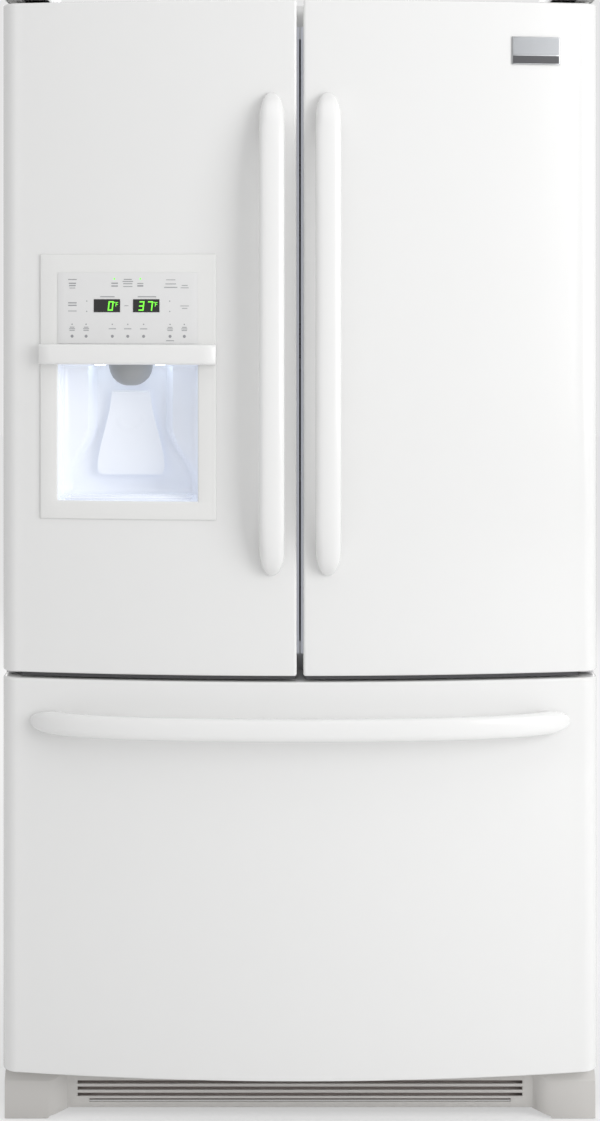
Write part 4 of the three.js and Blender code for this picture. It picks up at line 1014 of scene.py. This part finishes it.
def seal_frame(node, name, body, lip_side=0, lip_reach=0.0):
    """A magnetic seal: three beads of a bellows on its retainer, with a lip towards the other door."""
    low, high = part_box(node)
    middle = (low.y + high.y) / 2
    beads = []
    for inset, y, radius in ((3.6, low.y + 3.6 * MM, 3.4), (9, middle + 1.2 * MM, 4.8),
                             (14.6, low.y + 3.4 * MM, 3.2), (9, high.y - 2.4 * MM, 2.2)):
        d = inset * MM
        beads.append(tube_frame(low.x + d, high.x - d, low.z + d, high.z - d, y, radius * MM, 12))
    beads.append(tube_frame(low.x + 5 * MM, high.x - 5 * MM, low.z + 5 * MM, high.z - 5 * MM,
                            high.y - 2.6 * MM, 2.4 * MM, 8))
    whole = joined(beads)
    hand_over(whole, name, body, "seal_grey", [node], 50)
    if not lip_side:
        return
    inner = high.x if lip_side > 0 else low.x
    tip = inner + lip_side * lip_reach
    section = [
        (inner - lip_side * 4 * MM, low.y + 1.0 * MM), (inner, low.y + 2.0 * MM), (tip, low.y + 5.0 * MM),
        (tip, low.y + 6.6 * MM), (inner, low.y + 4.4 * MM), (inner - lip_side * 4 * MM, low.y + 3.4 * MM),
    ]
    rings = [[Vector((x, y, z)) for x, y in section] for z in (low.z + 4 * MM, high.z - 4 * MM)]
    # the lip glows with painted light, so the shaded gap between the doors reads light grey
    hand_over(loft(rings), name + "_lip", body, "seal_lip_painted_glow", slot="seal_rubber")


def make_seals():
    reach = 6.6 * MM
    seal_frame("left_door_gasket", "left_door_seal", "left_door", 1, reach)
    seal_frame("right_door_gasket", "right_door_seal", "right_door", -1, reach)
    seal_frame("drawer_gasket", "drawer_seal", "freezer_drawer")


def make_badge():
    """A blank name plate: a brushed upper field over a dark band, in a thin raised rim."""
    width, height = 74 * MM, 42 * MM
    x0 = right_low.x + 315 * MM
    z0 = right_high.z - 95 * MM
    band = 13 * MM
    base = bowed_block(x0, x0 + width, gap, 2.4 * MM, z0, z0 + height, 10)
    base = modified(base, bevel(0.7 * MM, 3))
    hand_over(base, "badge_plate", "right_door", "badge_silver", slot="hinge_steel")
    rim = 1.6 * MM
    inner = (x0 + rim, x0 + width - rim, 2.3 * MM, 2.7 * MM)
    lower = bowed_block(*inner, z0 + rim, z0 + band, 10)
    hand_over(lower, "badge_band", "right_door", "badge_dark", slot="black_plastic")
    upper = modified(bowed_block(*inner, z0 + band + rim, z0 + height - rim, 10), bevel(0.2 * MM, 1))
    hand_over(upper, "badge_field", "right_door", "badge_field", slot="hinge_steel")


make_seals()
make_badge()


# ---------------------------------------------------------------- moulded covers, trays and sheet parts
def soften_all():
    """Nodes whose own shape is right, with their edges rounded as the moulding or the press leaves them."""
    widths = {
        1.2: ("hinge_cover_left", "hinge_cover_right", "toe_grille", "left_door_bin", "right_bin_lower",
              "right_bin_upper", "dairy_lid", "crisper_left", "crisper_right"),
        1.6: ("left_door_liner", "right_door_liner", "drawer_liner", "ice_maker_housing", "folding_mullion"),
        0.7: ("top_hinge_left", "top_hinge_right", "centre_hinge_left", "centre_hinge_right",
              "drawer_bracket_left", "drawer_bracket_right", "slide_rail_left", "slide_rail_right",
              "slide_middle_left", "slide_middle_right", "fan_shroud", "water_valve", "leveling_leg_left",
              "leveling_leg_right", "rear_roller_left", "rear_roller_right"),
        1.0: ("compressor",),
    }
    for width, nodes in widths.items():
        for node in nodes:
            softened(node, width * MM, material="hinge_paint" if node.startswith("top_hinge") else None)


soften_all()


# ---------------------------------------------------------------- shadow strips, baskets and shelves
def bowed_strip(x0, x1, z0, z1, behind, thickness):
    """A strip that hangs a little way behind the bowed front."""
    return bowed_block(x0, x1, -behind - thickness, -behind, z0, z1, 24)


def make_shadow_strips():
    """Dark strips just under the doors and a dark plate behind the toe grille: painted shade in the gaps
    there.
    """
    drop, margin, behind = 6 * MM, 30 * MM, 9 * MM
    for side, low, high in (("left", left_low, left_high), ("right", right_low, right_high)):
        x0 = low.x + (margin if side == "left" else 3 * MM)
        x1 = high.x - (margin if side == "right" else 3 * MM)
        # a dark strip hanging under each door: painted shade in the gap above the drawer
        strip = bowed_strip(x0, x1, low.z - drop, low.z + 0.5 * MM, behind, 3 * MM)
        hand_over(strip, side + "_door_sweep", side + "_door", "door_strip_painted_shade", slot="seal_rubber")
    low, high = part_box("toe_grille")
    reach, front = 348 * MM, case_low.y - 28 * MM
    # a dark plate behind the grille: painted shade seen through the slots
    screen = rounded_box((-reach, front, low.z + 16 * MM), (reach, case_low.y - 24 * MM, 60 * MM))
    hand_over(screen, "grille_screen", "cabinet", "screen_painted_shade", slot="black_plastic")


def bent_wire(path, radius, sides=6):
    """A round wire along a polyline, with mitred bends."""
    rings = []
    across = None
    for i, point in enumerate(path):
        before = path[i] - path[i - 1] if i else path[1] - path[0]
        after = path[i + 1] - path[i] if i + 1 < len(path) else before
        along = (before.normalized() + after.normalized()).normalized()
        # each ring keeps the last one's direction, turned square to the wire, so that the tube doesn't twist
        across = along.orthogonal() if across is None else across - along * along.dot(across)
        across = across.normalized()
        other = along.cross(across)
        widen = 1 / max(0.5, along.dot(after.normalized()))
        ring = []
        for k in range(sides):
            turn = 2 * math.pi * k / sides
            ring.append(point + (across * math.cos(turn) + other * math.sin(turn)) * radius * min(widen, 1.3))
        rings.append(ring)
    return loft(rings)


def wire_basket(node, half, ledge_z):
    """A coated wire basket: two sets of bent wires, three hoops, a rim and a ledge on each side."""
    low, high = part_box(node)
    body = node_body[node]
    wire = 1.5 * MM
    y0, y1, z0, z1 = low.y + wire, high.y - wire, low.z + wire, high.z - 2 * wire
    bend = 10 * MM
    front_back = [Vector((0, y0, z1)), Vector((0, y0, z0 + bend)), Vector((0, y0 + bend, z0)),
                  Vector((0, y1 - bend, z0)), Vector((0, y1, z0 + bend)), Vector((0, y1, z1))]
    reach = half - wire
    crosswise = [Vector((-reach, 0, z1)), Vector((-reach, 0, z0 + bend)), Vector((-reach + bend, 0, z0)),
                 Vector((reach - bend, 0, z0)), Vector((reach, 0, z0 + bend)), Vector((reach, 0, z1))]
    pitch = 22 * MM
    count = int(2 * (reach - bend) / pitch)
    places = [((i - count / 2) * pitch, 0, 0) for i in range(count + 1)]
    repeated(node + "_long_wires", body, "basket_white", places, bent_wire(front_back, wire), "basket_white")
    count = int((y1 - y0 - 2 * bend) / (2 * pitch))
    middle = (y0 + y1) / 2
    places = [(0, middle + (i - count / 2) * 2 * pitch, 0) for i in range(count + 1)]
    repeated(node + "_cross_wires", body, "basket_white", places, bent_wire(crosswise, wire), "basket_white")
    hoops = []
    heights = [z0 + (z1 - z0) * share for share in (0.36, 0.7)] + [z1]
    for z in heights:
        thick = 3 * MM if z == z1 else 2 * MM
        inset = thick * 0.4 + thick / 2
        x_reach, near, far = half - inset, low.y + inset, high.y - inset
        corners = [(-x_reach, near), (x_reach, near), (x_reach, far), (-x_reach, far)]
        rings = []
        for x, y in corners:
            sx, sy = (-1 if x < 0 else 1), (-1 if y < middle else 1)
            rings.append([(x + sx * thick / 2 * math.cos(2 * math.pi * k / 8),
                           y + sy * thick / 2 * math.cos(2 * math.pi * k / 8),
                           z + thick / 2 * math.sin(2 * math.pi * k / 8)) for k in range(8)])
        faces = []
        for j in range(4):
            n = (j + 1) % 4
            faces += [(j * 8 + k, j * 8 + (k + 1) % 8, n * 8 + (k + 1) % 8, n * 8 + k) for k in range(8)]
        hoops.append(outward(mesh_from([p for ring in rings for p in ring], faces)))
    for side in (-1, 1):
        xs = sorted((side * (half - 3 * MM), side * max(abs(low.x), high.x)))
        near, far = low.y + 4 * MM, high.y - 4 * MM
        hoops.append(rounded_box((xs[0], near, ledge_z - 5 * MM), (xs[1], far, ledge_z), 1 * MM))
    hand_over(joined(hoops), node + "_hoops", body, "basket_white", [node])


def make_shelves():
    """Tempered glass in a moulded front rail, with a moulded rail down each side and one along the back."""
    for node in ("shelf_ice_side", "shelf_milk_side", "shelf_full", "crisper_cover"):
        low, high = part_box(node)
        rail, edge, margin = 11 * MM, 12 * MM, 1 * MM
        top = high.z - 4 * MM
        glass = rounded_box((low.x + edge, low.y + rail, top - 4.2 * MM),
                            (high.x - edge, high.y - 8 * MM, top - 0.2 * MM))
        hand_over(glass, node + "_glass", "cabinet", "shelf_glass", slot="shelf_glass")
        front = rounded_box((low.x, low.y, top - 14 * MM),
                            (high.x, low.y + rail + margin, high.z), 3.2 * MM, 4)
        back = rounded_box((low.x + margin, high.y - 10 * MM, top - 12 * MM),
                           (high.x - margin, high.y, top + 3 * MM), 2 * MM)
        parts = [front, back]
        for x in (low.x + margin, high.x - edge - 2 * MM):
            parts.append(rounded_box((x, low.y + rail, top - 12 * MM),
                                     (x + edge + margin, high.y - 9 * MM, top), 1.4 * MM))
        hand_over(joined(parts), node + "_frame", "cabinet", "moulded_white", [node], slot="shelf_glass")


make_shadow_strips()
wire_basket("lower_basket", 366 * MM, 418.3 * MM)
wire_basket("upper_basket", 366 * MM, 577.3 * MM)
make_shelves()


# ---------------------------------------------------------------- fittings inside and behind
def screw_mesh(radius, axis):
    """A pan-head screw with a cross on its head, seated at the origin; it faces up, front or back."""
    profile = [(0.0, 0.35), (0.55, 0.55), (0.85, 0.4), (1.0, 0.1), (1.0, 0.0), (0.0, 0.0)]
    head = lathe([(r * radius, h * radius) for r, h in profile], (0, 0, 0), 14)
    slots = []
    for turn in (0, 90):
        long, broad, low, high = 0.5 * radius, 0.09 * radius, 0.42 * radius, 0.58 * radius
        bar = rounded_box((-long, -broad, low), (long, broad, high), 0.02 * radius, 1)
        bar.transform(Matrix.Rotation(math.radians(turn), 4, "Z"))
        slots.append(bar)
    whole = joined([head] + slots)
    turns = {"up": Matrix.Identity(4), "front": Matrix.Rotation(math.radians(90), 4, "X"),
             "back": Matrix.Rotation(math.radians(-90), 4, "X")}
    whole.transform(turns[axis])
    return whole


def make_screws():
    """Screws around the rear panel and the rear cover, and four in the air duct's cover."""
    back = case_high.y + 0.1 * MM
    edge_x, lowest, span, steps = 440 * MM, 0.36, 1.3, 8
    heights = [z / steps * span + lowest for z in range(steps + 1)]
    sides = [(s * edge_x, back, z) for s in (-1, 1) for z in heights]
    across = [(x * 110 * MM, back, z) for x in range(-3, 4) for z in (342 * MM, case_high.z - 14 * MM)]
    lower = [(x * 146 * MM, back, z) for x in (-2.9, -1, 1, 2.9) for z in (74 * MM, 318 * MM)]
    screw = screw_mesh(4 * MM, "back")
    repeated("rear_screws", "cabinet", "plated_steel", sides + across + lower, screw, "galvanised")
    inside_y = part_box("fridge_liner")[1].y - 12 * MM
    duct = [(x * 60 * MM, inside_y, z) for x in (-1, 1) for z in (1.05, 1.55)]
    repeated("duct_screws", "cabinet", "moulded_white", duct, screw_mesh(3.5 * MM, "front"), "white_plastic")


def make_air_duct():
    """The air duct cover on the refrigerator's back wall, with louvres, and the freezer's fan cover."""
    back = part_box("fridge_liner")[1].y - liner_wall - gap
    cover = rounded_box((-78 * MM, back - 8 * MM, 1.0), (78 * MM, back, 1.6), 5 * MM, 4)
    hand_over(cover, "duct_cover", "cabinet", "moulded_white", slot="white_plastic")
    half, rise = 42 * MM, 1.8 * MM
    louvre = rounded_box((-half, back - 11 * MM, -rise), (half, back - 7 * MM, rise), 1.2 * MM, 2)
    places = [(0, 0, z + i * 9 * MM) for z in (1.17, 1.36, 1.48) for i in range(5)]
    repeated("duct_louvres", "cabinet", "grille_grey", places, louvre, "grey_plastic")
    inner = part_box("freezer_liner")[1].y - liner_wall - gap
    plate = rounded_box((-300 * MM, inner - 8 * MM, 0.395), (300 * MM, inner, 0.635), 5 * MM, 4)
    hand_over(plate, "evaporator_cover", "cabinet", "moulded_white", slot="white_plastic")
    slot = rounded_box((-9 * MM, inner - 10.5 * MM, -26 * MM), (9 * MM, inner - 7 * MM, 26 * MM), 3 * MM, 2)
    places = [(i * 34 * MM, 0, 0.52) for i in range(-6, 7)]
    repeated("evaporator_slots", "cabinet", "chute_grey", places, slot, "grey_plastic")


def make_lamp_and_filter():
    """A ribbed lamp under the refrigerator's ceiling and a water filter beside it."""
    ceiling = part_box("fridge_liner")[1].z - liner_wall - gap
    base = rounded_box((60 * MM, -60 * MM, ceiling - 10 * MM), (230 * MM, 20 * MM, ceiling), 4 * MM, 3)
    hand_over(base, "lamp_base", "cabinet", "moulded_white", slot="white_plastic")
    lens = rounded_box((68 * MM, -52 * MM, ceiling - 19 * MM),
                       (222 * MM, 12 * MM, ceiling - 9 * MM), 5 * MM, 4)
    hand_over(lens, "lamp_lens", "cabinet", "lamp_soft", slot="clear_plastic")
    rib = rounded_box((70 * MM, -50 * MM, ceiling - 19.8 * MM),
                      (71.6 * MM, 10 * MM, ceiling - 18.6 * MM), 0.4 * MM, 1)
    places = [(i * 6 * MM, 0, 0) for i in range(25)]
    repeated("lamp_ribs", "cabinet", "lamp_soft", places, rib, "clear_plastic")
    outline = [(0, 0), (24, 0), (25, 2), (25, 170), (22, 176), (0, 176)]
    body = lathe([(r * MM, h * MM) for r, h in outline],
                 (340 * MM, -120 * MM, ceiling - 32 * MM), 40, "Y")
    knob = rounded_box((336 * MM, -130 * MM, ceiling - 52 * MM),
                       (344 * MM, -118 * MM, ceiling - 12 * MM), 2.5 * MM, 3)
    hand_over(joined([body, knob]), "water_filter", "cabinet", "moulded_white", slot="white_plastic")


def make_back_fittings():
    """The valve's inlet thread and the cord gland's collar, on the rear cover."""
    valve_low, valve_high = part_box("water_valve")
    x = (valve_low.x + valve_high.x) / 2
    ridge, pitch, valve_z = [(12.2, 0), (13.2, 0.6), (12.2, 1.2), (12.2, 0)], 2.2, 230 * MM
    rings = []
    for i in range(4):
        place = (x, case_high.y + (2 + pitch * i) * MM, valve_z)
        rings.append(lathe([(r * MM, h * MM) for r, h in ridge], place, 28, "Y"))
    hand_over(joined(rings), "valve_thread", "cabinet", "plated_steel", slot="hinge_steel")
    outline = [(9.3, 0.2), (13, 0.2), (13, 1.6), (11.6, 3), (9.3, 3), (9.3, 0.2)]
    gland_x, gland_z = 380 * MM, 114 * MM
    collar = lathe([(r * MM, h * MM) for r, h in outline], (gland_x, case_high.y, gland_z), 28, "Y")
    hand_over(collar, "gland_collar", "cabinet", "moulded_black", slot="black_plastic")


make_screws()
make_air_duct()
make_lamp_and_filter()
make_back_fittings()


def write_sizes():
    import json


write_sizes()
